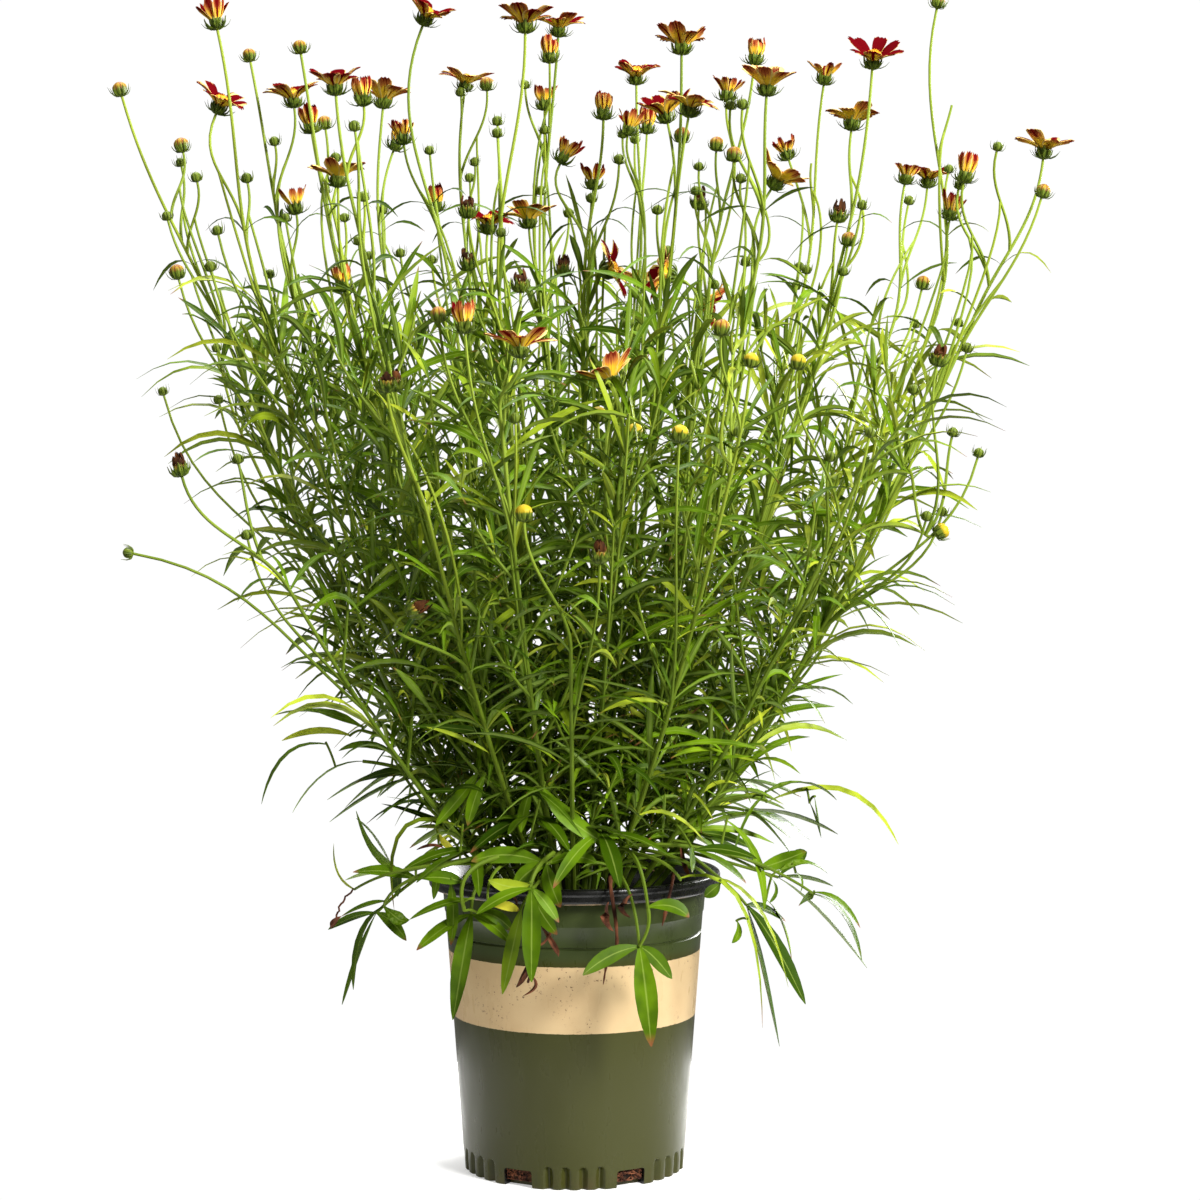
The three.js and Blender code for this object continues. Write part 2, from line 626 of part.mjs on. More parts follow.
// Eight keeled rays round a domed disc, as one skin, just clear of its cup.
function bloom(at, facing) {
  const frame = framesAlong([at.clone().sub(facing), at.clone().add(facing)])[1];
  const base = CUP_HEIGHT + FIT_GAP;
  const vertices = [];
  const faces = [];
  const pointAt = (reach, angle, across, rise) => {
    const out = frame.side.clone().multiplyScalar(Math.cos(angle))
      .addScaledVector(frame.other, Math.sin(angle));
    const aside = new THREE.Vector3().crossVectors(facing, out);
    return at.clone().addScaledVector(facing, base + rise)
      .addScaledVector(out, reach).addScaledVector(aside, across);
  };
  const hub = [];
  for (let ray = 0; ray < RAY_COUNT; ray += 1) {
    const angle = 2 * Math.PI * ray / RAY_COUNT;
    const section = ([reach, half, rise, keel]) => [
      pointAt(reach, angle, half, rise), pointAt(reach, angle, -half, rise), pointAt(reach, angle, 0, keel)];
    const root = section(RAY_ROOT).map((point) => vertices.push(point) - 1);
    arm(vertices, faces, root, [section(RAY_MIDDLE), section(RAY_END)]);
    hub.push(root);
  }
  const crown = vertices.push(pointAt(0, 0, 0, DISC_TOP)) - 1;
  for (let ray = 0; ray < RAY_COUNT; ray += 1) {
    const [right, left, under] = hub[ray];
    const [, leftNext, underNext] = hub[(ray + 1) % RAY_COUNT];
    faces.push([right, leftNext, crown], [left, right, crown]);
    faces.push([right, underNext, leftNext], [right, under, underNext]);
    if (ray > 0 && ray + 1 < RAY_COUNT) faces.push([hub[0][2], underNext, under]);
  }
  return solidFrom(vertices, faces);
}

// ---------------------------------------------------------------- leaves

// A cross-section of a blade: its two edges, and the keel between and under them.
function bladeSection(point, aside, up, half) {
  return [
    point.clone().addScaledVector(aside, half).addScaledVector(up, 0.2),
    point.clone().addScaledVector(aside, -half).addScaledVector(up, 0.2),
    point.clone().addScaledVector(up, -LEAF_KEEL),
  ];
}

// A narrow leaf that leaves its stem at `root`, arches out along `out` and droops to its tip.
function narrowLeaf({ root, out, length, rise, droop }) {
  const pointAt = (share) => root.clone()
    .addScaledVector(out, share * length * Math.cos(rise))
    .addScaledVector(UP, share * length * Math.sin(rise) - droop * length * share * share);
  const aside = new THREE.Vector3().crossVectors(UP, out);
  const [left, right, keel] = bladeSection(pointAt(LEAF_BELLY), aside, UP, LEAF_HALF_WIDTH);
  const row = beadsAlong([root, pointAt(LEAF_BELLY), pointAt(1)], [1, LEAF_HALF_WIDTH, 0.5]);
  return { section: [keel, left, right], tip: pointAt(1), row };
}

// A cross direction for a lobe or petiole that leaves `from` towards `to`.
function asideOf(from, to) {
  const along = to.clone().sub(from).normalize();
  const aside = new THREE.Vector3().crossVectors(UP, along);
  if (aside.length() < 0.4) aside.set(from.y, -from.x, 0);
  return aside.addScaledVector(along, -aside.dot(along)).normalize();
}

// A lobed leaf, as one skin: a petiole from the root, and three lobes that meet it at the knot.
function lobedLeaf(root, knot, [end, left, right]) {
  const shoulder = root.clone().lerp(knot, 0.5).addScaledVector(UP, root.distanceTo(knot) * 0.16);
  if (knot.z < POT_HEIGHT + 12) {
    shoulder.copy(knot).setZ(0).setLength(RIM_RADIUS + 2).setZ(POT_HEIGHT + 6);
  }
  const petiole = { tip: root, stations: [[shoulder, 1.2]] };
  const lobes = [end, left, petiole, right].map((part) => {
    const { tip } = part;
    const middle = knot.clone().lerp(tip, 0.5).addScaledVector(UP, knot.distanceTo(tip) * 0.09);
    const stations = part.stations ?? [[middle, part.half]];
    const aside = asideOf(knot, stations[0][0]);
    return { tip, stations, aside, toward: stations[0][0].clone().sub(knot).normalize() };
  });
  const corners = lobes.map(({ toward, aside }, n) => {
    const next = lobes[(n + 1) % lobes.length];
    const out = toward.clone().add(next.toward).addScaledVector(aside, 0.8).addScaledVector(next.aside, -0.8);
    return knot.clone().addScaledVector(out.normalize(), 2);
  });
  const vertices = [...corners, knot.clone().addScaledVector(UP, -1.3)];
  const faces = [[0, 1, 2], [0, 2, 3]];
  lobes.forEach(({ tip, stations, aside }, n) => {
    const sections = stations.map(([point, half]) => {
      const up = new THREE.Vector3().crossVectors(point.clone().sub(knot), aside).normalize();
      return bladeSection(point, aside, up, half);
    });
    if (n === 2) sections.push(bladeSection(tip, aside, UP, 1.2));
    arm(vertices, faces, [n, (n + 3) % 4, 4], sections, n === 2 ? null : tip);
  });
  const rows = lobes.map(({ tip, stations: [[point, half]] }) => {
    return beadsAlong([knot, point, tip], [1, half, 1]);
  });
  return { solid: () => solidFrom(vertices, faces), row: rows.flat() };
}

function turned(point, angle) {
  return point.clone().applyAxisAngle(UP, angle);
}

// The stem whose lower part passes nearest to a direction, and the place on it at a height.
function rootFor(target, height) {
  let best = null;
  for (const stem of stems) {
    let share = 0;
    while (share < 0.9 && stem.leader.pointAt(share).z < height) share += 0.02;
    const point = stem.leader.pointAt(share);
    const far = Math.hypot(target.x * 0.4 - point.x, target.y * 0.4 - point.y);
    if (!best || far < best.far) best = { stem, point, far };
  }
  return best;
}

// ---------------------------------------------------------------- growing the plant

// A stem's leader, its flowers, and the first of its other heads.
function keptHeads(heads) {
  let unopened = 0;
  return heads.filter(([kind], n) => {
    if (kind === 'bloom') return true;
    unopened += 1;
    return n === 0 || (kind !== 'green' && unopened <= UNOPENED_KEPT);
  });
}

const stems = STEMS.map(({ fork, depth, heads }, n) => {
  const stem = {
    name: `leafy_stem_${String(n + 1).padStart(2, '0')}`,
    fork,
    depth,
    draw: drawsFrom(1000 + n),
    solids: [],
    heads: keptHeads(heads).map(([kind, across, up, lean]) => {
      return { kind, across, up, lean: lean ?? across * USUAL_LEAN };
    }),
  };
  stem.leader = leaderCurve(stem);
  return stem;
});

const blooms = [];

function placeLeader(stem) {
  const head = stem.heads[0];
  const facing = headFacing(head);
  const row = beadsAlong(stem.leader.points, STEM_RADIUS[1] + 0.2);
  row.push({ at: head.at, radius: BUD_SIZES[head.kind] });
  keep(row, stem.name);
  if (head.kind === 'bloom') {
    keep(bloomBeads(head.at, facing), `${stem.name} flower`);
    blooms.push({ at: head.at, facing });
  }
}

// The rings of a stem from its foot in the soil to its leading head.
function leaderRings(stem) {
  const { foot, points } = stem.leader;
  const root = new THREE.Vector3(foot.x, foot.y, SOIL_TOP - FOOT_DEPTH);
  const frames = framesAlong([root, foot, ...points.slice(1)]);
  frames[0].along = UP.clone();
  frames[1].along = UP.clone();
  const rings = frames.map((frame, n) => {
    const share = LEADER_JOINTS[Math.max(n - 1, 0)];
    const radius = share <= 1
      ? between(STEM_RADIUS[0], STEM_RADIUS[1], share)
      : between(STEM_RADIUS[1], STALK_RADIUS[1], share - 1);
    return ringIn(frame, radius, n - 1 <= Math.max(...LEAFY_JOINTS) ? STEM_SIDES : STALK_SIDES);
  });
  return { rings, frames };
}

// A leaf on each of two opposite sides of each joint, turned by a quarter from joint to joint;
// each is the first draw that has room.
function growLeaves(stem, rings) {
  const leaves = [];
  for (const joint of LEAFY_JOINTS) {
    const ring = rings[joint + 1];
    for (const side of joint % 2 ? [0, 2] : [1, 3]) {
      const root = ring[side].clone().lerp(ring[(side + 1) % 4], 0.5);
      const facing = root.clone().sub(stem.leader.points[joint]).setZ(0).normalize();
      const usual = between(LEAF_LENGTHS[0], LEAF_LENGTHS[1], joint / LEAFY_JOINTS.length);
      for (let attempt = 0; attempt < LEAF_DRAWS; attempt += 1) {
        const leaf = narrowLeaf({
          root,
          out: turned(facing, radians(between(-1, 1, stem.draw()) * (12 + attempt))),
          length: usual * between(0.85, 1.12, stem.draw()) * (attempt < LEAF_DRAWS / 2 ? 1 : SHORTER_LEAF),
          rise: radians(between(20, 50, stem.draw())),
          droop: between(0.35, 0.85, stem.draw()),
        });
        if (roomForLeaf(leaf.row, root, stem.name) <= 0) continue;
        leaves.push({ joint: joint + 1, side, ...leaf });
        keep(leaf.row, stem.name);
        break;
      }
    }
  }
  return leaves;
}

function growLeader(stem) {
  const { rings, frames } = leaderRings(stem);
  const leaves = growLeaves(stem, rings);
  const end = turnedTo(frames[frames.length - 1], headFacing(stem.heads[0]));
  stem.solids.push(loft([...rings, ...headRings(stem.heads[0].kind, end)], leaves));
}

function growHead(stem, head) {
  const found = branchTo(stem, head, stem.name, stem.draw);
  if (found.room <= 0) throw new Error(`${stem.name} has no room for ${head.kind} ${head.across} ${head.up}`);
  const facing = headFacing(head);
  stem.solids.push(stalkWithHead(found.points, head.kind, facing));
  keep(found.row, stem.name);
  if (head.kind === 'bloom') {
    keep(found.flower, `${stem.name} flower`);
    blooms.push({ at: found.at, facing });
  }
}

// A lobed leaf, turned about the pot's axis until it has room.
function growLobed(knot, tips, rootHeight) {
  for (let attempt = 0; attempt < 13; attempt += 1) {
    const turn = radians(2.5) * Math.ceil(attempt / 2) * (attempt % 2 ? 1 : -1);
    const target = turned(knot, turn);
    const { stem, point } = rootFor(target, rootHeight + 6 * (attempt % 4));
    const leaf = lobedLeaf(point, target, tips.map(({ tip, half }) => ({ tip: turned(tip, turn), half })));
    if (roomForLeaf(leaf.row, point, stem.name) > 0) {
      stem.solids.push(leaf.solid());
      keep(leaf.row, stem.name);
      return true;
    }
  }
  return false;
}

function growHanging({ knot, lobes }) {
  const tips = lobes.map(([x, y, z, half]) => ({ tip: new THREE.Vector3(x, y, z), half }));
  if (!growLobed(new THREE.Vector3(...knot), tips, HANGING_ROOT_HEIGHT)) {
    throw new Error(`no room for the hanging leaf at ${knot}`);
  }
}

// Lobed leaves standing out round the crown, evenly spread and drawn in size, where there is room.
function growBasal(count) {
  const draw = drawsFrom(33);
  for (let n = 0; n < count; n += 1) {
    const angle = 2 * Math.PI * (n + 0.5 * draw()) / count;
    const reach = between(...BASAL_REACHES, draw());
    const out = new THREE.Vector3(Math.cos(angle), Math.sin(angle), 0);
    const aside = new THREE.Vector3(-Math.sin(angle), Math.cos(angle), 0);
    const knot = out.clone().multiplyScalar(reach).setZ(between(...BASAL_HEIGHTS, draw()));
    const length = between(...BASAL_LOBE_LENGTHS, draw());
    const tips = [0, 1, -1].map((wing) => ({
      tip: knot.clone().addScaledVector(out, length * (wing ? 0.6 : 1))
        .addScaledVector(aside, wing * length * 0.62)
        .addScaledVector(UP, -length * between(0.1, 0.5, draw())),
      half: wing ? BASAL_HALF_WIDTHS[1] : BASAL_HALF_WIDTHS[0],
    }));
    growLobed(knot, tips, between(...BASAL_ROOT_HEIGHTS, draw()));
  }
}

const witheredPoints = WITHERED_STEMS.map((run) => run.map((place) => new THREE.Vector3(...place)));
witheredPoints.forEach((points, n) => keep(beadsAlong(points, WITHERED_RADIUS), `withered_stem_${n + 1}`));
stems.forEach(placeLeader);
for (const flowering of [true, false]) {
  for (const stem of stems) {
    for (const head of stem.heads.slice(1)) {
      if ((head.kind === 'bloom') === flowering) growHead(stem, head);
    }
  }
}
HANGING_LEAVES.forEach(growHanging);
growBasal(LOBED_LEAVES);
stems.forEach(growLeader);

// ---------------------------------------------------------------- the whole

const FINISHES = {
  pot: { color: 0x4b5030, roughness: 0.42, metalness: 0 },
  soil: { color: 0x2e2119, roughness: 0.95, metalness: 0 },
  leaf: { color: 0x4f7a24, roughness: 0.55, metalness: 0 },
  bloom: { color: 0x9c2f1c, roughness: 0.6, metalness: 0 },
  withered: { color: 0x6b4a2c, roughness: 0.85, metalness: 0 },
};

function piece(name, solid, finish) {
  const mesh = new THREE.Mesh(geometryOf(solid), new THREE.MeshStandardMaterial(FINISHES[finish]));
  mesh.name = name;
  return mesh;
}

const coreopsis = new THREE.Group();
coreopsis.name = 'coreopsis';
coreopsis.add(piece('pot', pot(), 'pot'));
const feet = [
  ...stems.map(({ leader: { foot } }) => {
    return { point: foot.clone().setZ(SOIL_TOP - FOOT_DEPTH), radius: STEM_RADIUS[0] };
  }),
  ...witheredPoints.map(([point]) => ({ point, radius: WITHERED_RADIUS })),
];
coreopsis.add(piece('soil', soil(feet), 'soil'));
witheredPoints.forEach((points, n) => {
  const rings = framesAlong(points).map((frame, k) => {
    return ringIn(k < 2 ? turnedTo(frame, UP) : frame, WITHERED_RADIUS * (k % 3 === 2 ? 0.7 : 1), STEM_SIDES);
  });
  coreopsis.add(piece(`withered_stem_${n + 1}`, loft(rings), 'withered'));
});
for (const stem of stems) coreopsis.add(piece(stem.name, fused(stem.solids), 'leaf'));
blooms.forEach(({ at, facing }, n) => {
  coreopsis.add(piece(`bloom_${String(n + 1).padStart(2, '0')}`, bloom(at, facing), 'bloom'));
});

export default coreopsis;
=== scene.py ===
import math

import bmesh
import bpy
import numpy as np
from numpy.linalg import norm
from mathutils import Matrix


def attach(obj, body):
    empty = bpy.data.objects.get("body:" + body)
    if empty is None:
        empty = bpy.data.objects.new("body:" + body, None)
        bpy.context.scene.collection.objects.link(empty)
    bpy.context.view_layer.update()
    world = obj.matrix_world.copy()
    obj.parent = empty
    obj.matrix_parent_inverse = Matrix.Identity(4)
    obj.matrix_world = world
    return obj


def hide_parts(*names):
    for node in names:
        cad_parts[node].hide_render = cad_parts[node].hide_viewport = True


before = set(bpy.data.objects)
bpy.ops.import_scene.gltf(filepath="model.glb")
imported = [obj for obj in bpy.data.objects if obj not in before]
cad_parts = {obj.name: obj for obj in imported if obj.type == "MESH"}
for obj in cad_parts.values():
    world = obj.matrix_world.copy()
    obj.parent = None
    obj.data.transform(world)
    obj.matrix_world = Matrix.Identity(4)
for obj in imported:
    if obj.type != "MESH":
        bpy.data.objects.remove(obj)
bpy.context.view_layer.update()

bl_info = {
    "name": "Potted Coreopsis",
    "version": (1, 0, 0),
    "blender": (4, 5, 0),
    "location": "3D View > Sidebar > Coreopsis",
    "description": "Builds a flowering coreopsis in its nursery pot round a fixed frame",
    "category": "Add Mesh",
}

MM = 0.001
TURN = 2 * math.pi

# ---- the plant's fixed sizes, in millimetres

RIM_RADIUS = 85
POT_HEIGHT = 173
POT_FOOT_RADIUS = 64
POT_WALL = 1.6
POT_FLOOR = 2.6
LIP_DEPTH = 9
DRAIN_SLOTS = 6
DRAIN_SLOT_WIDTH = 18
DRAIN_SLOT_HEIGHT = 10
RIBS_PER_SLOT = 5
STEP_HEIGHT = 138

SOIL_TOP = 150
SOIL_RELIEF = 1.6
FIT_GAP = 0.35

CROWN_SHARE = 0.17
FOOT_DEPTH = 11
BEND_OUT = 0.45
BEND_UP = 0.3
STEM_RADIUS = (2.2, 1.5)
STALK_RADIUS = (1.15, 0.95)
LEADER_RADII = ((0, 0.45, 1, 2), (1.8, 1.35, 1.0, 0.8))
LEADER_JOINTS = (0, 0.14, 0.28, 0.43, 0.59, 0.78, 1, 1.3, 1.65, 2)
LEAFY_JOINTS = (2, 3, 4, 5, 6, 7)

RAY_COUNT = 8
BUD_SIZES = {"green": 3.2, "ripe": 4.8, "half": 5, "spent": 4, "bloom": 4.5, "cut": 1}

LEAF_LENGTHS = (72, 50)
LEAF_HALF_WIDTH = 2.1
LEAF_BELLY = 0.48
LOBED_LEAVES = 16
HANGING_ROOT_HEIGHT = 186
BASAL_ROOT_HEIGHTS = (172, 205)
BASAL_REACHES = (70, 105)
BASAL_HEIGHTS = (190, 245)
BASAL_LOBE_LENGTHS = (38, 55)
BASAL_HALF_WIDTHS = (3.8, 2.8)
UNOPENED_KEPT = 2

DEPTH_DRAWS = 60
DEPTH_SPREAD = 24
LEAF_DRAWS = 30
SHORTER_LEAF = 0.7
BEAD_STEP = 4
AXIL = 12
ROOM = 2
MOST_BEADS = 60000
FAR_BEADS = 14

EYE_DISTANCE = 1640
EYE_HEIGHT = 410
USUAL_LEAN = 0.06

LEADER_DEPTH = 1.12
HEAD_DEPTH = 1.06
LEAVING = 0.3
BRANCH_SHARES = (1.85, 0.55, 0.72)
BRANCH_STEP = 0.05
BRANCH_RISE = (20, 1.35)
ROOT_DIRECTION = 0.4
LOBED_TURNS = 13
LOBED_TURN = math.radians(2.5)

SEEDS = {"basal": 33, "soil": 71, "chips": 72, "roots": 73, "grain": 80, "floret": 90, "withered": 640,
         "stem": 1000, "late": 5000, "foliage": 7000, "slender": 7600, "heads": 9000}
# Who owns the beads of what isn't a stem, counted from these.
WITHERED_OWNER = 1000
FLOWER_OWNER = 2000

# Each stem's fork [across, up], its depth behind the axis, its heads as kind, across, up and lean, and then
# its green buds as across, up and lean.
STEMS = [
    ((-200, 480), 20, [("ripe", -260, 620), ("ripe", -225, 588), ("ripe", -228, 515)], [(-234, 549),
     (-226, 580), (-217, 571)]),
    ((-187, 415), 125, [], [(-206, 474), (-237, 449), (-178, 474), (-205, 444)]),
    ((-177, 491), -65, [("half", -205, 658), ("bloom", -206, 610, 24)], [(-188, 570), (-205, 540),
     (-209, 519)]),
    ((-165, 335), -112, [("spent", -227, 401)], [(-194, 408), (-255, 356, -80), (-189, 364)]),
    ((-159, 503), 55, [("ripe", -186, 640), ("bloom", -161, 614, -8), ("half", -160, 553)], [(-172, 592),
     (-175, 516), (-166, 548)]),
    ((-133, 509), -25, [("ripe", -157, 644), ("ripe", -143, 601), ("half", -151, 599),
     ("bloom", -136, 568, 0), ("half", -133, 508)], [(-137, 582), (-143, 564), (-132, 548)]),
    ((-119, 520), -120, [("bloom", -137, 620, -4), ("half", -121, 614)], [(-126, 599), (-121, 559),
     (-124, 534)]),
    ((-107, 509), 100, [("bloom", -110, 614, 6), ("half", -104, 590, 20), ("ripe", -115, 486)], [(-110, 553),
     (-118, 527)]),
    ((-84, 375), -140, [("spent", -108, 449), ("spent", -103, 450), ("spent", -97, 321, 60)], []),
    ((-71, 509), 25, [("bloom", -87, 661, 22), ("half", -98, 593)], [(-83, 587), (-100, 528), (-82, 524)]),
    ((-60, 514), 150, [("bloom", -63, 624, 8), ("half", -79, 555), ("ripe", -50, 624)], [(-65, 621),
     (-57, 581), (-60, 572)]),
    ((-43, 503), -75, [("bloom", -28, 656, 0), ("bloom", -50, 541, 6), ("spent", -61, 550),
     ("spent", -61, 520)], [(-44, 603), (-44, 596), (-42, 539)]),
    ((-43, 439), -160, [("bloom", -31, 469, 0), ("spent", -31, 507), ("half", -63, 483),
     ("ripe", -78, 489)], [(-34, 431)]),
    ((-17, 520), 75, [("bloom", -9, 655, 4), ("half", -14, 640), ("half", -17, 613),
     ("bloom", -26, 545, -3)], [(-28, 625), (-17, 599), (-3, 551), (-19, 564)]),
    ((6, 514), -15, [("half", 17, 607), ("half", -8, 582, 28), ("half", 11, 567), ("bloom", 15, 519, 74),
     ("spent", -6, 517)], [(10, 559), (26, 581)]),
    ((-2, 300), -150, [("ripe", -29, 374), ("spent", 15, 350)], []),
    ((26, 398), -120, [("bloom", 23, 452, -20), ("ripe", 14, 432), ("ripe", 35, 422)], [(31, 486),
     (35, 504)]),
    ((38, 520), 130, [("bloom", 36, 628, 0), ("half", 31, 599, 12), ("half", 42, 600),
     ("bloom", 39, 510, 5)], [(28, 597), (35, 594), (54, 530)]),
    ((56, 526), -60, [("bloom", 62, 644, 0), ("bloom", 54, 605, -12), ("bloom", 66, 608, 10),
     ("ripe", 62, 593)], [(48, 552)]),
    ((80, 525), 55, [("half", 104, 639), ("half", 88, 618), ("bloom", 59, 517, -70), ("bloom", 70, 504, 110),
     ("ripe", 82, 589), ("spent", 72, 556)], [(72, 578), (70, 564), (81, 510)]),
    ((90, 398), -155, [("ripe", 102, 463), ("ripe", 85, 481), ("half", 61, 420)], [(95, 423)]),
    ((106, 525), -100, [("bloom", 111, 620, 4), ("bloom", 114, 567, 35), ("ripe", 92, 582)], [(90, 612),
     (97, 612), (96, 570), (99, 522)]),
    ((131, 503), 130, [("half", 144, 628), ("half", 124, 585, -18), ("cut", 137, 583)], [(128, 510),
     (130, 521), (134, 519)]),
    ((148, 503), -35, [("bloom", 172, 636, 4), ("bloom", 160, 601, 8), ("spent", 152, 548),
     ("ripe", 158, 534)], [(155, 517), (166, 555)]),
    ((162, 393), -125, [("green", 196, 448), ("ripe", 129, 462)], [(171, 423), (148, 409)]),
    ((183, 485), 115, [("half", 191, 571), ("bloom", 204, 569, 4), ("ripe", 201, 510)], [(193, 559),
     (197, 488), (177, 467)]),
    ((192, 403), -65, [("ripe", 209, 367, 60), ("spent", 210, 465)], [(219, 424), (234, 412), (204, 375),
     (213, 378)]),
    ((206, 485), 55, [("ripe", 209, 671), ("half", 217, 550), ("cut", 218, 616)], [(216, 577)]),
    ((233, 497), 0, [("bloom", 271, 585, 6), ("half", 225, 571), ("ripe", 270, 562)], [(222, 567),
     (244, 589), (222, 488), (227, 473)]),
]

# Of each flower, from 0 for maroon rays to 1 for yellow ones, in the flowers' order.
FLOWER_TONES = (0.0, 0.55, 0.1, 0.6, 0.35, 0.55, 0.5, 0.7, 0.2, 0.4, 0.85, 0.05, 0.5, 0.5, 0.4, 0.65, 0.0,
                0.8, 0.5, 0.55, 0.15, 0.45, 0.5, 0.45, 0.8, 0.85, 0.3)

# The knot and the three lobes' tips, each with its half width, of the leaves that hang over the lip.
HANGING_LEAVES = (
    ((-103, -22, 174), ((-125, -26, 206, 3), (-131, -30, 171, 3.4), (-99, -60, 166, 3))),
    ((-112, -48, 155), ((-131, -56, 104, 3.6), (-139, -52, 146, 2.6), (-94, -66, 142, 2.8))),
    ((-60, -82, 156), ((-71, -96, 85, 5.6), (-94, -86, 126, 4), (-42, -96, 128, 3))),
    ((-23, -104, 168), ((-27, -118, 105, 4.8), (-56, -112, 150, 3.4), (-6, -110, 142, 3))),
    ((32, -98, 164), ((48, -106, 69, 5.6), (6, -108, 110, 4), (66, -92, 142, 4))),
    ((92, -62, 160), ((109, -76, 82, 4), (126, -62, 103, 4), (117, -48, 148, 3.4))),
    ((118, -14, 170), ((168, -30, 120, 4.6), (135, -8, 184, 4), (149, -22, 166, 3.4))),
)

WITHERED_STEMS = (
    ((19, -60, 141), (19, -60, 152), (19, -68, 172), (20, -80, 181), (20, -88, 175), (23, -90, 157),
     (24, -87, 141), (18, -86, 134), (16, -88, 121)),
    ((52, -44, 141), (52, -44, 152), (55, -52, 172), (56, -61, 181), (55, -70, 176), (52, -74, 164),
     (49, -72, 151)),
)
WITHERED_RADIUS = 1.2

UP = np.array((0.0, 0.0, 1.0))


# ---- draws, curves and frames

def draws_from(seed):
    """Repeatable draws between 0 and 1."""
    state = seed

    def draw():
        nonlocal state
        state = (state + 0x6D2B79F5) & 0xFFFFFFFF
        mixed = (state ^ (state >> 15)) * (state | 1) & 0xFFFFFFFF
        mixed ^= (mixed + (mixed ^ (mixed >> 7)) * (mixed | 61)) & 0xFFFFFFFF
        return (mixed ^ (mixed >> 14)) / 4294967296

    return draw


def between(low, high, share):
    return low + (high - low) * share


def unit(vector):
    return vector / norm(vector)


def placed(across, up, depth):
    """The point that is seen at (across, up) on the front elevation when it lies `depth` behind it."""
    spread = (EYE_DISTANCE + depth) / EYE_DISTANCE
    return np.array((across * spread, float(depth), EYE_HEIGHT + (up - EYE_HEIGHT) * spread))


def bezier(points, share):
    """A point on the curve with these control points, or one row of points for many shares."""
    share = np.asarray(share, float)[..., None]
    rest = 1 - share
    if len(points) == 3:
        return rest * rest * points[0] + 2 * rest * share * points[1] + share * share * points[2]
    return (rest ** 3 * points[0] + 3 * rest * rest * share * points[1]
            + 3 * rest * share * share * points[2] + share ** 3 * points[3])


def through(places):
    """The control points of the curve that passes halfway through the second of three [across, up, depth]."""
    first, middle, last = [placed(*place) for place in places]
    return first, middle * 2 - (first + last) / 2, last


def clamped(share):
    return min(1, max(0, share))


def round_about(side, other, angle):
    """The direction at an angle between two that are square to each other."""
    return side * math.cos(angle) + other * math.sin(angle)


def on_ring(reach, angle, z):
    return reach * math.cos(angle), reach * math.sin(angle), z


def turned(point, angle):
    """A point turned about the pot's axis."""
    c, s = math.cos(angle), math.sin(angle)
    return np.array((point[0] * c - point[1] * s, point[0] * s + point[1] * c, point[2]))


def frames_along(points):
    """The direction of travel and two steady cross directions at each of a row of points."""
    points = np.asarray(points, float)
    before = points[[0, *range(len(points) - 1)]]
    after = points[[*range(1, len(points)), len(points) - 1]]
    along = after - before
    along /= norm(along, axis=1)[:, None]
    side = np.empty_like(along)
    last = np.array((0.0, 1.0, 0.0)) if abs(along[0][1]) < 0.9 else np.array((1.0, 0.0, 0.0))
    for n, direction in enumerate(along):
        last = unit(last - direction * last.dot(direction))
        side[n] = last
    return along, side, np.cross(along, side)


def stalk_curve(start, leaving, end, facing):
    reach = norm(end - start) * 0.4
    return start, start + leaving * reach, end - facing * reach, end


# ---- room between stems

class Room:
    """Beads that stand for all that has grown, to tell where there is room for more."""

    def __init__(self):
        self.places = np.empty((MOST_BEADS, 3))
        self.radii = np.empty(MOST_BEADS)
        self.owners = np.empty(MOST_BEADS, int)
        self.count = 0

    def keep(self, row, radii, owner):
        end = self.count + len(row)
        self.places[self.count:end] = row
        self.radii[self.count:end] = radii
        self.owners[self.count:end] = owner
        self.count = end

    def has(self, row, radii, owner=None):
        """Whether a row of beads is clear of the pot and of every other owner's beads."""
        if not len(row):
            return True
        reach = np.hypot(row[:, 0], row[:, 1])
        above = row[:, 2] - POT_HEIGHT - 1.5
        outside = reach - RIM_RADIUS - 1.5
        within = np.minimum(RIM_RADIUS - 16 - reach, row[:, 2] - SOIL_TOP - SOIL_RELIEF - 1)
        if (np.maximum(np.maximum(above, outside), within) - np.minimum(radii, 1.5)).min() <= 0:
            return False
        places = self.places[:self.count]
        near = np.all((places > row.min(0) - FAR_BEADS) & (places < row.max(0) + FAR_BEADS), axis=1)
        if owner is not None:
            near &= self.owners[:self.count] != owner
        places = places[near]
        if not len(places):
            return True
        apart = norm(row[:, None] - places[None], axis=2)
        return (apart - radii[:, None] - self.radii[:self.count][near][None]).min() > ROOM

    def has_for_leaf(self, row, radii, root, owner):
        """Room from other stems along all of a leaf, and from its own stem beyond its axil."""
        beyond = norm(row - root, axis=1) > AXIL
        return self.has(row, radii, owner) and self.has(row[beyond], radii[beyond])


def beads_along(points, radii):
    radii = np.broadcast_to(radii, len(points))
    row, sizes = [], []
    for n in range(len(points) - 1):
        steps = max(1, math.ceil(norm(points[n + 1] - points[n]) / BEAD_STEP))
        for k in range(steps):
            row.append(points[n] + (points[n + 1] - points[n]) * (k / steps))
            sizes.append(between(radii[n], radii[n + 1], k / steps))
    return np.array([*row, points[-1]]), np.array([*sizes, radii[-1]], float)


def flower_beads(at, facing):
    _, side, other = frames_along([at - facing, at + facing])
    row, sizes = [at], [4.0]
    for ray in range(RAY_COUNT):
        angle = TURN * ray / RAY_COUNT
        out = round_about(side[1], other[1], angle)
        for reach, rise in ((6, 4), (10, 7), (15, 9)):
            row.append(at + facing * rise + out * reach)
            sizes.append(3.0)
    return np.array(row), np.array(sizes)


# ---- how the plant grows

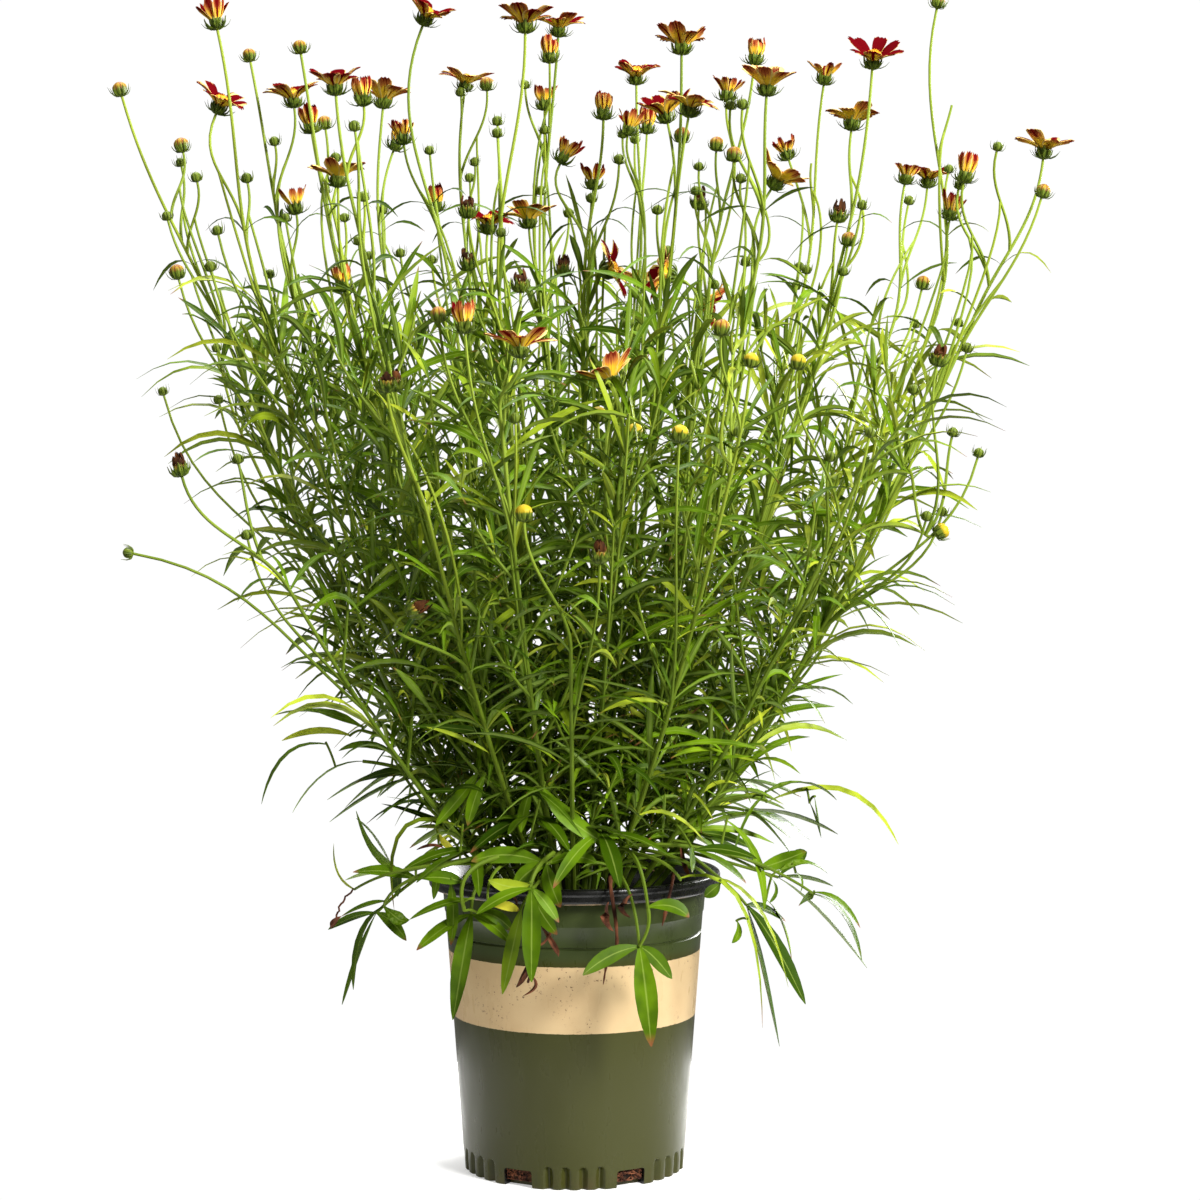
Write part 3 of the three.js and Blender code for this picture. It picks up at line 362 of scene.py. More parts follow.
class Head:
    def __init__(self, kind, across, up, lean=None):
        self.kind, self.across, self.up = kind, across, up
        angle = math.radians(across * USUAL_LEAN if lean is None else lean)
        self.facing = np.array((math.sin(angle), 0.0, math.cos(angle)))
        self.at = None
        self.curve = None
        self.share = 2.0
        self.tone = 0.5
        self.flower = None


class Stem:
    def __init__(self, number, fork, depth, heads, buds):
        self.number = number
        self.depth = depth
        self.draw = draws_from(SEEDS["stem"] + number)
        self.all_heads = [Head(*head) for head in heads] + [Head("green", *bud) for bud in buds]
        self.heads, unopened = [], 0
        for n, head in enumerate(self.all_heads):
            if head.kind != "bloom":
                unopened += 1
            if head.kind == "bloom" or n == 0 or (head.kind != "green" and unopened <= UNOPENED_KEPT):
                self.heads.append(head)
        self.leaves = []
        self.lobed = []
        fork = placed(*fork, depth)
        self.foot = np.array((fork[0] * CROWN_SHARE, fork[1] * CROWN_SHARE, SOIL_TOP + 3.0))
        bend = between(self.foot, fork, np.array((BEND_OUT, BEND_OUT, BEND_UP)))
        self.lower = (self.foot, bend, fork)
        leader = self.heads[0]
        leader.at = placed(leader.across, leader.up, depth * LEADER_DEPTH)
        self.upper = stalk_curve(fork, unit(fork - bend), leader.at, leader.facing)
        self.points = [self.smooth(share) for share in LEADER_JOINTS]

    def smooth(self, share):
        """A point on the leader: 0 is its foot, 1 its fork and 2 its head."""
        return bezier(self.lower, share) if share <= 1 else bezier(self.upper, share - 1)

    def point_at(self, share):
        """The same on the straight runs between the leader's joints."""
        after = max(1, next(n for n, joint in enumerate(LEADER_JOINTS) if joint >= share))
        low, high = LEADER_JOINTS[after - 1], LEADER_JOINTS[after]
        return self.points[after - 1] + (self.points[after] - self.points[after - 1]) * (
            (share - low) / (high - low))

    def radius_at(self, share):
        if share <= 1:
            return between(*STEM_RADIUS, share)
        return between(STEM_RADIUS[1], STALK_RADIUS[1], share - 1)


class Plant:
    """Where everything grows. It follows the frame's own rule, draw by draw, so that the finer pieces
    lie where the frame's nodes are, and then adds what is too small for the frame."""

    def __init__(self):
        self.room = Room()
        self.stems = [Stem(n, *entry) for n, entry in enumerate(STEMS)]
        self.flowers = []
        for n, points in enumerate(WITHERED_STEMS):
            row, radii = beads_along(np.array(points, float), WITHERED_RADIUS)
            self.room.keep(row, radii, WITHERED_OWNER + n)
        for stem in self.stems:
            self.place_leader(stem)
        for flowering in (True, False):
            for stem in self.stems:
                for head in stem.heads[1:]:
                    if (head.kind == "bloom") == flowering:
                        self.grow_head(stem, head, stem.draw)
        self.walks = [self.walk_up(stem) for stem in self.stems]
        for knot, lobes in HANGING_LEAVES:
            tips = [(np.array(lobe[:3], float), lobe[3]) for lobe in lobes]
            self.grow_lobed(np.array(knot, float), tips, HANGING_ROOT_HEIGHT)
        self.grow_basal()
        for stem in self.stems:
            self.grow_leaves(stem)
        for stem in self.stems:
            draw = draws_from(SEEDS["late"] + stem.number)
            for head in stem.all_heads:
                if head not in stem.heads:
                    self.grow_head(stem, head, draw)
                    stem.heads.append(head)

    def keep_flower(self, stem, head):
        self.room.keep(*flower_beads(head.at, head.facing), FLOWER_OWNER + stem.number)
        head.flower = len(self.flowers)
        head.tone = FLOWER_TONES[head.flower]
        self.flowers.append(head)

    def place_leader(self, stem):
        head = stem.heads[0]
        row, radii = beads_along(stem.points, STEM_RADIUS[1] + 0.2)
        self.room.keep(row, radii, stem.number)
        self.room.keep([head.at], BUD_SIZES[head.kind], stem.number)
        if head.kind == "bloom":
            self.keep_flower(stem, head)

    def grow_head(self, stem, head, draw):
        """A head's depth isn't fixed by the elevation: it is the first draw whose stalk has room."""
        for attempt in range(DEPTH_DRAWS):
            offset = between(-1, 1, draw()) * (DEPTH_SPREAD + attempt)
            at = placed(head.across, head.up, stem.depth * HEAD_DEPTH + offset)
            share = self.branch_share(stem, at)
            start = stem.point_at(share)
            along = unit(stem.point_at(share + 0.02) - start)
            ahead = unit(at - start)
            leaving = unit(ahead + (along - ahead) * LEAVING)
            points = bezier(stalk_curve(start, leaving, at, head.facing), np.arange(4) / 3)
            row, radii = beads_along(points, STALK_RADIUS[0])
            row, radii = np.vstack((row[1:], at)), np.append(radii[1:], BUD_SIZES[head.kind])
            found = self.room.has(row, radii, stem.number)
            if found and head.kind == "bloom":
                found = self.room.has(*flower_beads(at, head.facing), FLOWER_OWNER + stem.number)
            if found:
                break
        head.at, head.share = at, share
        head.curve = stalk_curve(stem.smooth(share), leaving, at, head.facing)
        self.room.keep(row, radii, stem.number)
        if head.kind == "bloom":
            self.keep_flower(stem, head)

    @staticmethod
    def branch_share(stem, at):
        """The highest place on the leader from which a head can be reached on a steep stalk."""
        share, lowest, otherwise = BRANCH_SHARES
        rise, slope = BRANCH_RISE
        while share > lowest:
            point = stem.point_at(share)
            run = math.hypot(at[0] - point[0], at[1] - point[1])
            if at[2] - point[2] >= rise + slope * run:
                return share
            share -= BRANCH_STEP
        return otherwise

    @staticmethod
    def walk_up(stem):
        shares = [0.0]
        while shares[-1] < 0.9:
            shares.append(shares[-1] + 0.02)
        return [stem.point_at(share) for share in shares]

    def root_for(self, target, height):
        """The stem whose lower part passes nearest to a direction, and the place on it at a height."""
        best = None
        for stem, walk in zip(self.stems, self.walks):
            point = next((p for p in walk if p[2] >= height), walk[-1])
            far = math.hypot(target[0] * ROOT_DIRECTION - point[0], target[1] * ROOT_DIRECTION - point[1])
            if best is None or far < best[0]:
                best = (far, stem, point)
        return best[1:]

    def grow_lobed(self, knot, tips, root_height):
        """A lobed leaf, turned about the pot's axis until it has room."""
        for attempt in range(LOBED_TURNS):
            turn = LOBED_TURN * math.ceil(attempt / 2) * (1 if attempt % 2 else -1)
            target = turned(knot, turn)
            stem, root = self.root_for(target, root_height + 6 * (attempt % 4))
            leaf = LobedLeaf(root, target, [(turned(tip, turn), half) for tip, half in tips])
            if self.room.has_for_leaf(leaf.row, leaf.radii, root, stem.number):
                stem.lobed.append(leaf)
                self.room.keep(leaf.row, leaf.radii, stem.number)
                return

    def grow_basal(self):
        draw = draws_from(SEEDS["basal"])
        for n in range(LOBED_LEAVES):
            angle = TURN * (n + 0.5 * draw()) / LOBED_LEAVES
            reach = between(*BASAL_REACHES, draw())
            out = np.array((math.cos(angle), math.sin(angle), 0.0))
            aside = np.array((-math.sin(angle), math.cos(angle), 0.0))
            knot = out * reach + UP * between(*BASAL_HEIGHTS, draw())
            length = between(*BASAL_LOBE_LENGTHS, draw())
            tips = []
            for wing in (0, 1, -1):
                tip = knot + out * length * (0.6 if wing else 1) + aside * (wing * length * 0.62)
                tips.append((tip - UP * length * between(0.1, 0.5, draw()), BASAL_HALF_WIDTHS[abs(wing)]))
            self.grow_lobed(knot, tips, between(*BASAL_ROOT_HEIGHTS, draw()))

    def grow_leaves(self, stem):
        """A leaf on each of two opposite sides of each joint; each is the first draw that has room."""
        start = np.array((stem.foot[0], stem.foot[1], SOIL_TOP - FOOT_DEPTH))
        points = [start, stem.foot, *stem.points[1:]]
        _, sides, others = frames_along(points)
        for joint in LEAFY_JOINTS:
            radius = stem.radius_at(LEADER_JOINTS[joint])
            corners = [points[joint + 1] + sides[joint + 1] * radius * math.cos(k * math.pi / 2)
                       + others[joint + 1] * radius * math.sin(k * math.pi / 2) for k in range(5)]
            for side in ((0, 2) if joint % 2 else (1, 3)):
                root = (corners[side] + corners[(side + 1) % 4]) / 2
                facing = root - stem.points[joint]
                facing[2] = 0
                facing = unit(facing)
                usual = between(*LEAF_LENGTHS, joint / len(LEAFY_JOINTS))
                for attempt in range(LEAF_DRAWS):
                    out = turned(facing, math.radians(between(-1, 1, stem.draw()) * (12 + attempt)))
                    length = usual * between(0.85, 1.12, stem.draw())
                    length *= 1 if attempt < LEAF_DRAWS / 2 else SHORTER_LEAF
                    rise = math.radians(between(20, 50, stem.draw()))
                    leaf = NarrowLeaf(root, out, length, rise, between(0.35, 0.85, stem.draw()))
                    row, radii = beads_along(leaf.along((0, LEAF_BELLY, 1)), (1, LEAF_HALF_WIDTH, 0.5))
                    if self.room.has_for_leaf(row, radii, root, stem.number):
                        stem.leaves.append(leaf)
                        self.room.keep(row, radii, stem.number)
                        break


class NarrowLeaf:
    """A leaf that leaves its stem at `root`, arches out along `out` and droops to its tip."""

    def __init__(self, root, out, length, rise, droop, half=LEAF_HALF_WIDTH):
        self.root, self.out, self.length = root, out, length
        self.rise, self.droop, self.half = rise, droop, half

    def along(self, shares):
        shares = np.asarray(shares, float)[:, None]
        return (self.root + self.out * (shares * self.length * math.cos(self.rise))
                + UP * (shares * self.length * math.sin(self.rise) - self.droop * self.length * shares ** 2))


class LobedLeaf:
    """A petiole from the root, and three lobes that meet it at the knot."""

    def __init__(self, root, knot, tips):
        self.root, self.knot = root, knot
        shoulder = (root + knot) / 2 + UP * norm(root - knot) * 0.16
        if knot[2] < POT_HEIGHT + 12:
            level = math.hypot(knot[0], knot[1])
            shoulder = np.array((*(knot[:2] * (RIM_RADIUS + 2) / level), POT_HEIGHT + 6.0))
        self.shoulder = shoulder
        self.lobes = [(tip, half, (knot + tip) / 2 + UP * norm(knot - tip) * 0.09)
                      for tip, half in tips]
        rows = [beads_along([knot, middle, tip], (1, half, 1)) for tip, half, middle in self.lobes]
        rows.append(beads_along([knot, shoulder, root], (1, 1.2, 1)))
        self.row = np.vstack([row for row, _ in rows])
        self.radii = np.concatenate([radii for _, radii in rows])


# ---- modelling patterns by hand

def clear_selection():
    bpy.ops.object.select_all(action="DESELECT")


def pick(obj, test):
    """In edit mode, selects the vertices whose place passes the test, and tells how many."""
    form = bmesh.from_edit_mesh(obj.data)
    form.select_mode = {"VERT"}
    count = 0
    for vertex in form.verts:
        vertex.select = bool(test(vertex.co))
        count += vertex.select
    form.select_flush_mode()
    bmesh.update_edit_mesh(obj.data)
    return count


def select_all():
    bpy.ops.mesh.select_all(action="SELECT")


def leave_editing():
    bpy.ops.object.mode_set(mode="OBJECT")


def start_part(name, primitive, **settings):
    """A fresh primitive with its place in its mesh, in edit mode with vertices selectable."""
    clear_selection()
    primitive(**settings)
    obj = bpy.context.object
    obj.name = obj.data.name = name
    bpy.ops.object.transform_apply(location=True, rotation=True, scale=True)
    bpy.ops.object.mode_set(mode="EDIT")
    bpy.ops.mesh.select_mode(type="VERT")
    return obj


def sleeve(name, sides, stations):
    """A closed tube of unit radius along +X from 0 to 1, cut at the stations."""
    obj = start_part(name, bpy.ops.mesh.primitive_cylinder_add, vertices=sides, radius=1, depth=1,
                     location=(0.5, 0, 0), rotation=(0, math.pi / 2, 0))
    for station in stations[1:-1]:
        select_all()
        bpy.ops.mesh.bisect(plane_co=(station, 0, 0), plane_no=(1, 0, 0))
    return obj


def marked(across, along, under):
    """The four marks of each vertex, with the spare one left for a copy's tone."""
    return np.column_stack((across, along, np.zeros(len(along)), np.broadcast_to(under, len(along))))


class Pattern:
    """A modelled part's vertices and faces, and four marks at each vertex: across, along, spare and under."""

    def __init__(self, obj, marks=None):
        if obj.mode == "EDIT":
            leave_editing()
        mesh = obj.data
        self.places = np.empty(len(mesh.vertices) * 3)
        mesh.vertices.foreach_get("co", self.places)
        self.places = self.places.reshape(-1, 3)
        self.corners = np.empty(len(mesh.loops), int)
        mesh.loops.foreach_get("vertex_index", self.corners)
        self.sizes = np.array([len(face.vertices) for face in mesh.polygons])
        self.marks = np.zeros((len(self.places), 4)) if marks is None else marks(self.places)
        bpy.data.objects.remove(obj)
        bpy.data.meshes.remove(mesh)


def stations_of(profile):
    return [station for station, _ in profile]


def blade_pattern(name, profile, fold, thickness):
    """A leaf blade along +X: at each station its half width, folded down along the midrib."""
    obj = sleeve(name, 4, stations_of(profile))
    for station, half in profile:
        pick(obj, lambda co: abs(co.x - station) < 1e-4)
        bpy.ops.transform.resize(value=(1, half, thickness * max(half, 0.3)), center_override=(station, 0, 0))
        if pick(obj, lambda co: abs(co.x - station) < 1e-4 and abs(co.y) < 1e-5):
            bpy.ops.transform.translate(value=(0, 0, -fold * half))
    halves = dict((round(station, 4), half) for station, half in profile)

    def marks(places):
        half = np.array([halves[round(float(x), 4)] for x in places[:, 0]])
        across = np.abs(places[:, 1]) / half
        under = (across < 0.5) & (places[:, 2] < -fold * half)
        return marked(across, places[:, 0], under)

    return Pattern(obj, marks)


NARROW_BLADE = ((0, 0.3), (0.09, 0.42), (0.22, 0.72), (0.38, 0.95), (0.54, 1), (0.7, 0.85), (0.85, 0.52),
                (1, 0.05))
BROAD_BLADE = ((0, 0.16), (0.07, 0.28), (0.18, 0.54), (0.31, 0.8), (0.45, 0.96), (0.59, 1), (0.73, 0.9),
               (0.85, 0.66), (0.94, 0.38), (1, 0.06))
BRACT_BLADE = ((0, 0.7), (0.3, 1), (0.65, 0.7), (1, 0.08))


STALK_SHARES = np.linspace(0, 1, 13)


def stalk_pattern(name, sides, count):
    return Pattern(sleeve(name, sides, [n / count for n in range(count + 1)]),
                   lambda places: marked(np.zeros(len(places)), places[:, 0], 0))


RAY_WIDTHS = ((0, 0.3), (0.15, 0.5), (0.35, 0.78), (0.6, 1), (0.8, 1.02), (1, 0.82))
RAY_TEETH = (-0.16, 0, -0.075, 0.02, -0.075, 0, -0.16)


def ray_half(x):
    return np.interp(x, [row[0] for row in RAY_WIDTHS], [row[1] for row in RAY_WIDTHS])


def ray_pattern(along, across):
    """A ray's limb: a thin grid that is shaped to a toothed, pleated paddle and given its thickness."""
    obj = start_part("ray", bpy.ops.mesh.primitive_grid_add, x_subdivisions=along, y_subdivisions=across,
                     size=1, location=(0.5, 0, 0))
    for n in range(along + 1):
        pick(obj, lambda co: abs(co.x - n / along) < 1e-4)
        bpy.ops.transform.resize(value=(1, 2 * ray_half(n / along), 1), center_override=(n / along, 0, 0))
    for n in range(across + 1):
        row = 2 * n / across - 1
        if n % 2:
            pick(obj, lambda co: 0.1 < co.x and abs(co.y / ray_half(co.x) - row) < 1e-3)
            bpy.ops.transform.translate(value=(0, 0, -0.09))
        pick(obj, lambda co: co.x > 0.999 and abs(co.y / ray_half(co.x) - row) < 1e-3)
        bpy.ops.transform.translate(value=(RAY_TEETH[n], 0, 0))
    leave_editing()
    solid = obj.modifiers.new("thickness", "SOLIDIFY")
    solid.thickness = 0.07
    solid.offset = -1
    bpy.ops.object.modifier_apply(modifier="thickness")
    count = (along + 1) * (across + 1)

    def marks(places):
        across = np.clip(np.abs(places[:, 1]) / ray_half(places[:, 0]), 0, 1)
        under = np.arange(len(places)) >= count
        return marked(across, np.clip(places[:, 0], 0, 1), under)

    return Pattern(obj, marks)


def ball_pattern(name, segments, rings, rows):
    """A round body along +Z through (height, radius) rows, with eight overlapping scales round it."""
    obj = start_part(name, bpy.ops.mesh.primitive_uv_sphere_add, segments=segments, ring_count=rings,
                     radius=1)
    leave_editing()
    heights = np.array([row[0] for row in rows])
    radii = np.array([row[1] for row in rows])
    for vertex in obj.data.vertices:
        share = math.acos(max(-1, min(1, -vertex.co.z))) / math.pi
        level = float(np.interp(share, np.linspace(0, 1, len(rows)), heights))
        radius = float(np.interp(share, np.linspace(0, 1, len(rows)), radii))
        angle = math.atan2(vertex.co.y, vertex.co.x)
        scale = 1 - 0.09 * abs(math.sin(4 * angle)) ** 6 * math.sin(math.pi * share)
        vertex.co = on_ring(radius * scale, angle, level)
    top = heights.max()

    def marks(places):
        angle = np.arctan2(places[:, 1], places[:, 0])
        return marked(np.abs(np.sin(4 * angle)), places[:, 2] / top, 0)

    return Pattern(obj, marks)


def grain_pattern(name, divisions, seed):
    """A lump: a ball of few faces with its corners pushed about."""
    obj = start_part(name, bpy.ops.mesh.primitive_ico_sphere_add, subdivisions=divisions, radius=1)
    leave_editing()
    draw = draws_from(seed)
    for vertex in obj.data.vertices:
        vertex.co *= between(0.72, 1.2, draw())
    return Pattern(obj)


class Gathered:
    """Copies of patterns, each with its own vertices, gathered into one mesh."""

    def __init__(self):
        self.places, self.marks, self.corners, self.sizes, self.finishes = [], [], [], [], []
        self.count = 0

    def add(self, pattern, places, tone=0.0, finish=0):
        marks = pattern.marks.copy()
        marks[:, 2] = tone
        self.places.append(places)
        self.marks.append(marks)
        self.corners.append(pattern.corners + self.count)
        self.sizes.append(pattern.sizes)
        self.finishes.append(np.full(len(pattern.sizes), finish))
        self.count += len(places)

    def add_blade(self, pattern, points, half, tone, twist=0.0, up=None, finish=0, roll=0.0):
        """A copy bent along a row of points, one for each of the pattern's stations."""
        stations, which = np.unique(np.round(pattern.places[:, 0], 4), return_inverse=True)
        along, _, _ = frames_along(points)
        sides = np.cross(UP if up is None else up, along)
        length = norm(sides, axis=1)
        if length.min() < 0.05:
            _, sides, _ = frames_along(points)
            length = np.ones(len(points))
        sides = sides / length[:, None]
        ups = np.cross(along, sides)
        turn = roll + twist * stations
        c, s = np.cos(turn)[:, None], np.sin(turn)[:, None]
        sides, ups = sides * c + ups * s, ups * c - sides * s
        half = np.broadcast_to(half, len(points))[which][:, None]
        y, z = pattern.places[:, 1:2], pattern.places[:, 2:3]
        self.add(pattern, points[which] + sides[which] * y * half + ups[which] * z * half, tone, finish)

    def add_stalk(self, pattern, points, radii, tone=0.0, finish=0):
        _, sides, others = frames_along(points)
        which = np.unique(np.round(pattern.places[:, 0], 4), return_inverse=True)[1]
        radii = np.broadcast_to(radii, len(points))[which][:, None]
        self.add(pattern, points[which] + (sides[which] * pattern.places[:, 1:2]
                                           + others[which] * pattern.places[:, 2:3]) * radii, tone, finish)

    def add_rigid(self, pattern, matrix, at, tone=0.0, finish=0):
        self.add(pattern, pattern.places @ matrix.T + at, tone, finish)

    def made(self, name, materials, slot, crease=38, flat=False):
        """The mesh object, in metres, smooth between its creases, riding on the frame."""
        corners = np.concatenate(self.corners)
        sizes = np.concatenate(self.sizes)
        mesh = bpy.data.meshes.new(name)
        mesh.vertices.add(self.count)
        mesh.vertices.foreach_set("co", (np.vstack(self.places) * MM).ravel())
        mesh.loops.add(len(corners))
        mesh.loops.foreach_set("vertex_index", corners)
        mesh.polygons.add(len(sizes))
        mesh.polygons.foreach_set("loop_start", np.concatenate(([0], np.cumsum(sizes)[:-1])))
        mesh.polygons.foreach_set("material_index", np.concatenate(self.finishes))
        marks = mesh.attributes.new("marks", "FLOAT_COLOR", "POINT")
        marks.data.foreach_set("color", np.vstack(self.marks).ravel())
        mesh.update(calc_edges=True)
        mesh.validate()
        obj = bpy.data.objects.new(name, mesh)
        bpy.context.scene.collection.objects.link(obj)
        for material in materials:
            mesh.materials.append(material)
        finish_piece(obj, crease if not flat else None)
        return obj


def finish_piece(obj, crease=38):
    if crease is not None:
        clear_selection()
        obj.select_set(True)
        bpy.context.view_layer.objects.active = obj
        bpy.ops.object.shade_smooth_by_angle(angle=math.radians(crease))
    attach(obj, "root")


def head_matrix(facing, spin, size=1.0):
    """Columns that turn a pattern's +Z to `facing`, spun about it."""
    _, side, other = frames_along([-facing, facing])
    c, s = math.cos(spin), math.sin(spin)
    return np.column_stack((side[1] * c + other[1] * s, other[1] * c - side[1] * s, facing)) * size


# ---- finishes

class Finish:
    """A material and short ways to make and join its nodes."""

    def __init__(self, name):
        self.material = bpy.data.materials.new(name)
        self.material.use_nodes = True
        self.tree = self.material.node_tree
        self.shader = self.tree.nodes["Principled BSDF"]

    def feed(self, socket, value):
        if isinstance(value, bpy.types.NodeSocket):
            self.tree.links.new(value, socket)
        elif socket.type == "RGBA" and len(value) == 3:
            socket.default_value = (*value, 1)
        else:
            socket.default_value = value

    def node(self, kind, sockets=(), **settings):
        made = self.tree.nodes.new("ShaderNode" + kind)
        for key, value in settings.items():
            setattr(made, key, value)
        for key, value in dict(sockets).items():
            self.feed(made.inputs[key], value)
        return made

    def set(self, **values):
        for key, value in values.items():
            self.feed(self.shader.inputs[key.replace("_", " ")], value)

    def place(self, stretch=(1, 1, 1)):
        coordinates = self.node("TexCoord").outputs["Object"]
        return self.node("Mapping", {"Vector": coordinates, "Scale": stretch}).outputs[0]

    def noise(self, scale, detail=3.0, stretch=(1, 1, 1), roughness=0.55):
        return self.node("TexNoise", {"Vector": self.place(stretch), "Scale": scale, "Detail": detail,
                                      "Roughness": roughness}).outputs[0]

    def marks(self):
        """The piece's marks: across, along, tone and under."""
        attribute = self.node("Attribute", attribute_name="marks")
        parts = self.node("SeparateColor", {"Color": attribute.outputs["Color"]}).outputs
        return parts[0], parts[1], parts[2], attribute.outputs["Alpha"]

    def maths(self, operation, a, b=0.0):
        return self.node("Math", {0: a, 1: b}, operation=operation).outputs[0]

    def times(self, a, b):
        return self.maths("MULTIPLY", a, b)

    def plus(self, a, b):
        return self.maths("ADD", a, b)

    def minus(self, a, b):
        return self.maths("SUBTRACT", a, b)

    def ramp(self, share, low, high, out=(0.0, 1.0)):
        """A smooth step of `share` from low to high."""
        return self.node("MapRange", {0: share, 1: low, 2: high, 3: out[0], 4: out[1]},
                         interpolation_type="SMOOTHSTEP").outputs[0]

    def mix(self, share, a, b):
        return self.node("Mix", {0: share, 6: a, 7: b}, data_type="RGBA").outputs[2]

    def done(self, colour, roughness, specular, height=None, strength=0.0, distance=0.0):
        """Joins the looks to the shader, with a bump where there is a height, and gives the material."""
        self.set(Base_Color=colour, Roughness=roughness, Specular_IOR_Level=specular)
        if height is not None:
            bump = self.node("Bump", {"Height": height, "Strength": strength, "Distance": distance})
            self.set(Normal=bump.outputs[0])
        return self.material


def paint(red, green, blue):
    """A display colour of 0 to 255 as a scene colour."""
    return tuple((c / 255 / 12.92) if c <= 10 else ((c / 255 + 0.055) / 1.055) ** 2.4
                 for c in (red, green, blue))


def leaf_finish(sizes):
    f = Finish("leaf_green")
    across, along, tone, under = f.marks()
    colour = f.mix(f.ramp(tone, 0.0, 0.6), sizes.deep, sizes.fresh)
    colour = f.mix(f.ramp(tone, 0.6, 1.0), colour, sizes.young)
    colour = f.mix(f.ramp(f.noise(60, 2), 0.38, 0.68, (0.0, 0.6)), colour, sizes.deep)
    colour = f.mix(f.ramp(across, 0.0, 0.14, (0.4, 0.0)), colour, sizes.midrib)
    colour = f.mix(f.ramp(under, 0.05, 0.5, (0.0, 0.5)), colour, sizes.underside)
    colour = f.mix(f.ramp(tone, 1.2, 1.8), colour, sizes.faded)
    tip = f.times(f.ramp(along, 0.88, 0.99), f.ramp(f.noise(25, 0), 0.52, 0.62))
    colour = f.mix(tip, colour, sizes.dry)
    return f.done(colour, f.ramp(f.noise(300, 2), 0.3, 0.7, (0.36, 0.5)), 0.09,
                  f.noise(900, 2), 0.25, 0.0002)


def stem_finish(sizes):
    f = Finish("stem_green")
    tone = f.marks()[2]
    colour = f.mix(f.ramp(f.noise(40, 2, (1, 1, 0.1)), 0.35, 0.75, (0.0, 0.6)), sizes.stem, sizes.stem_shade)
    colour = f.mix(f.ramp(tone, 0.5, 1.0, (0.0, 0.3)), colour, sizes.young)
    # Painted shade: stems are darkened towards the shaded green below 0.28 m, less and less up to 0.46 m,
    # where they run inside the foliage.
    height = f.node("SeparateXYZ", {0: f.place()}).outputs[2]
    colour = f.mix(f.ramp(height, 0.28, 0.46, (0.8, 0.0)), colour, sizes.stem_shade)
    return f.done(colour, 0.55, 0.06, f.noise(1500, 2, (1, 1, 0.08)), 0.3, 0.0002)


def bract_finish(sizes):
    f = Finish("bract_green")
    across, along, _, _ = f.marks()
    colour = f.mix(f.ramp(f.noise(400, 2), 0.3, 0.7), sizes.bract, sizes.bract_shade)
    colour = f.mix(f.ramp(across, 0.75, 1.0, (0.0, 0.4)), colour, sizes.bract_shade)
    colour = f.mix(f.ramp(along, 0.8, 1.0, (0.0, 0.35)), colour, sizes.dry)
    return f.done(colour, 0.5, 0.15, f.noise(1200, 2), 0.3, 0.0002)


def bud_finish(sizes):
    """Green scales that turn tan, then brown, towards a ripe bud's top; tone 0 stays green, 2 turns gold."""
    f = Finish("bud_scales")
    across, along, tone, _ = f.marks()
    green = f.mix(f.ramp(across, 0.55, 1.0), sizes.bract, sizes.bract_shade)
    ripe = f.mix(f.ramp(along, 0.45, 0.75), green, sizes.bud_tan)
    ripe = f.mix(f.times(f.ramp(along, 0.6, 0.95), f.ramp(f.noise(500, 2), 0.42, 0.7)), ripe,
                 sizes.bud_brown)
    ripe = f.mix(f.times(f.ramp(across, 0.6, 1.0), f.ramp(along, 0.35, 0.6)), ripe, sizes.bud_brown)
    gold = f.mix(f.ramp(f.plus(along, f.times(f.noise(350, 2), 0.2)), 0.55, 0.72), green, sizes.bud_gold)
    ripe = f.mix(f.ramp(tone, 1.2, 1.8), ripe, gold)
    return f.done(f.mix(f.ramp(tone, 0.0, 1.0), green, ripe), 0.5, 0.15, f.noise(900, 2), 0.3, 0.0003)


def ray_finish(sizes):
    """Maroon rays with yellow margins; underneath gold at the root, then bronze with maroon streaks."""
    f = Finish("ray")
    across, along, tone, under = f.marks()
    run = f.node("CombineXYZ", {0: f.times(across, 6.5), 1: f.times(along, 1.3),
                                2: f.times(tone, 60)}).outputs[0]
    streaks = f.node("TexNoise", {"Vector": run, "Scale": 1, "Detail": 2}).outputs[0]
    edge = f.plus(f.times(across, 0.5), f.times(along, 0.5))
    edge = f.plus(edge, f.times(f.minus(streaks, 0.5), 0.9))
    upper = f.mix(f.ramp(f.plus(edge, f.times(tone, 0.5)), 0.95, 1.12), sizes.maroon, sizes.pale)
    wander = f.times(f.minus(streaks, 0.5), 1.3)
    lower = f.mix(f.ramp(f.plus(along, f.times(wander, 0.6)), 0.35, 0.7), sizes.yellow, sizes.bronze)
    lower = f.mix(f.ramp(f.plus(along, wander), 0.64, 0.92, (0.0, 0.9)), lower, sizes.russet)
    lower = f.mix(f.ramp(f.plus(f.times(tone, -0.62), f.minus(wander, across)), -0.55,
                         -0.3), lower, sizes.russet)
    lower = f.mix(f.ramp(f.plus(across, wander), 0.7, 0.95, (0.0, 0.75)), lower, sizes.pale)
    return f.done(f.mix(under, upper, lower), 0.7, 0.0, streaks, 0.35, 0.0004)


def disc_finish(sizes):
    f = Finish("disc_florets")
    tone = f.marks()[2]
    colour = f.mix(f.ramp(f.noise(700, 2), 0.35, 0.7), sizes.yellow, sizes.disc)
    return f.done(f.mix(f.ramp(tone, 0.5, 1.0), colour, sizes.bud_brown), 0.7, 0.1,
                  f.noise(1500, 2), 0.5, 0.0003)


def dry_finish(name, dark, light):
    f = Finish(name)
    colour = f.mix(f.ramp(f.noise(160, 4, (1, 1, 0.4)), 0.35, 0.75), dark, light)
    return f.done(colour, 0.8, 0.1, f.noise(900, 3, (1, 1, 0.3)), 0.7, 0.0005)


def root_finish(sizes):
    f = Finish("fine_roots")
    colour = f.mix(f.ramp(f.noise(400, 2), 0.35, 0.7), sizes.root_dark, sizes.root_light)
    return f.done(colour, 0.75, 0.15)


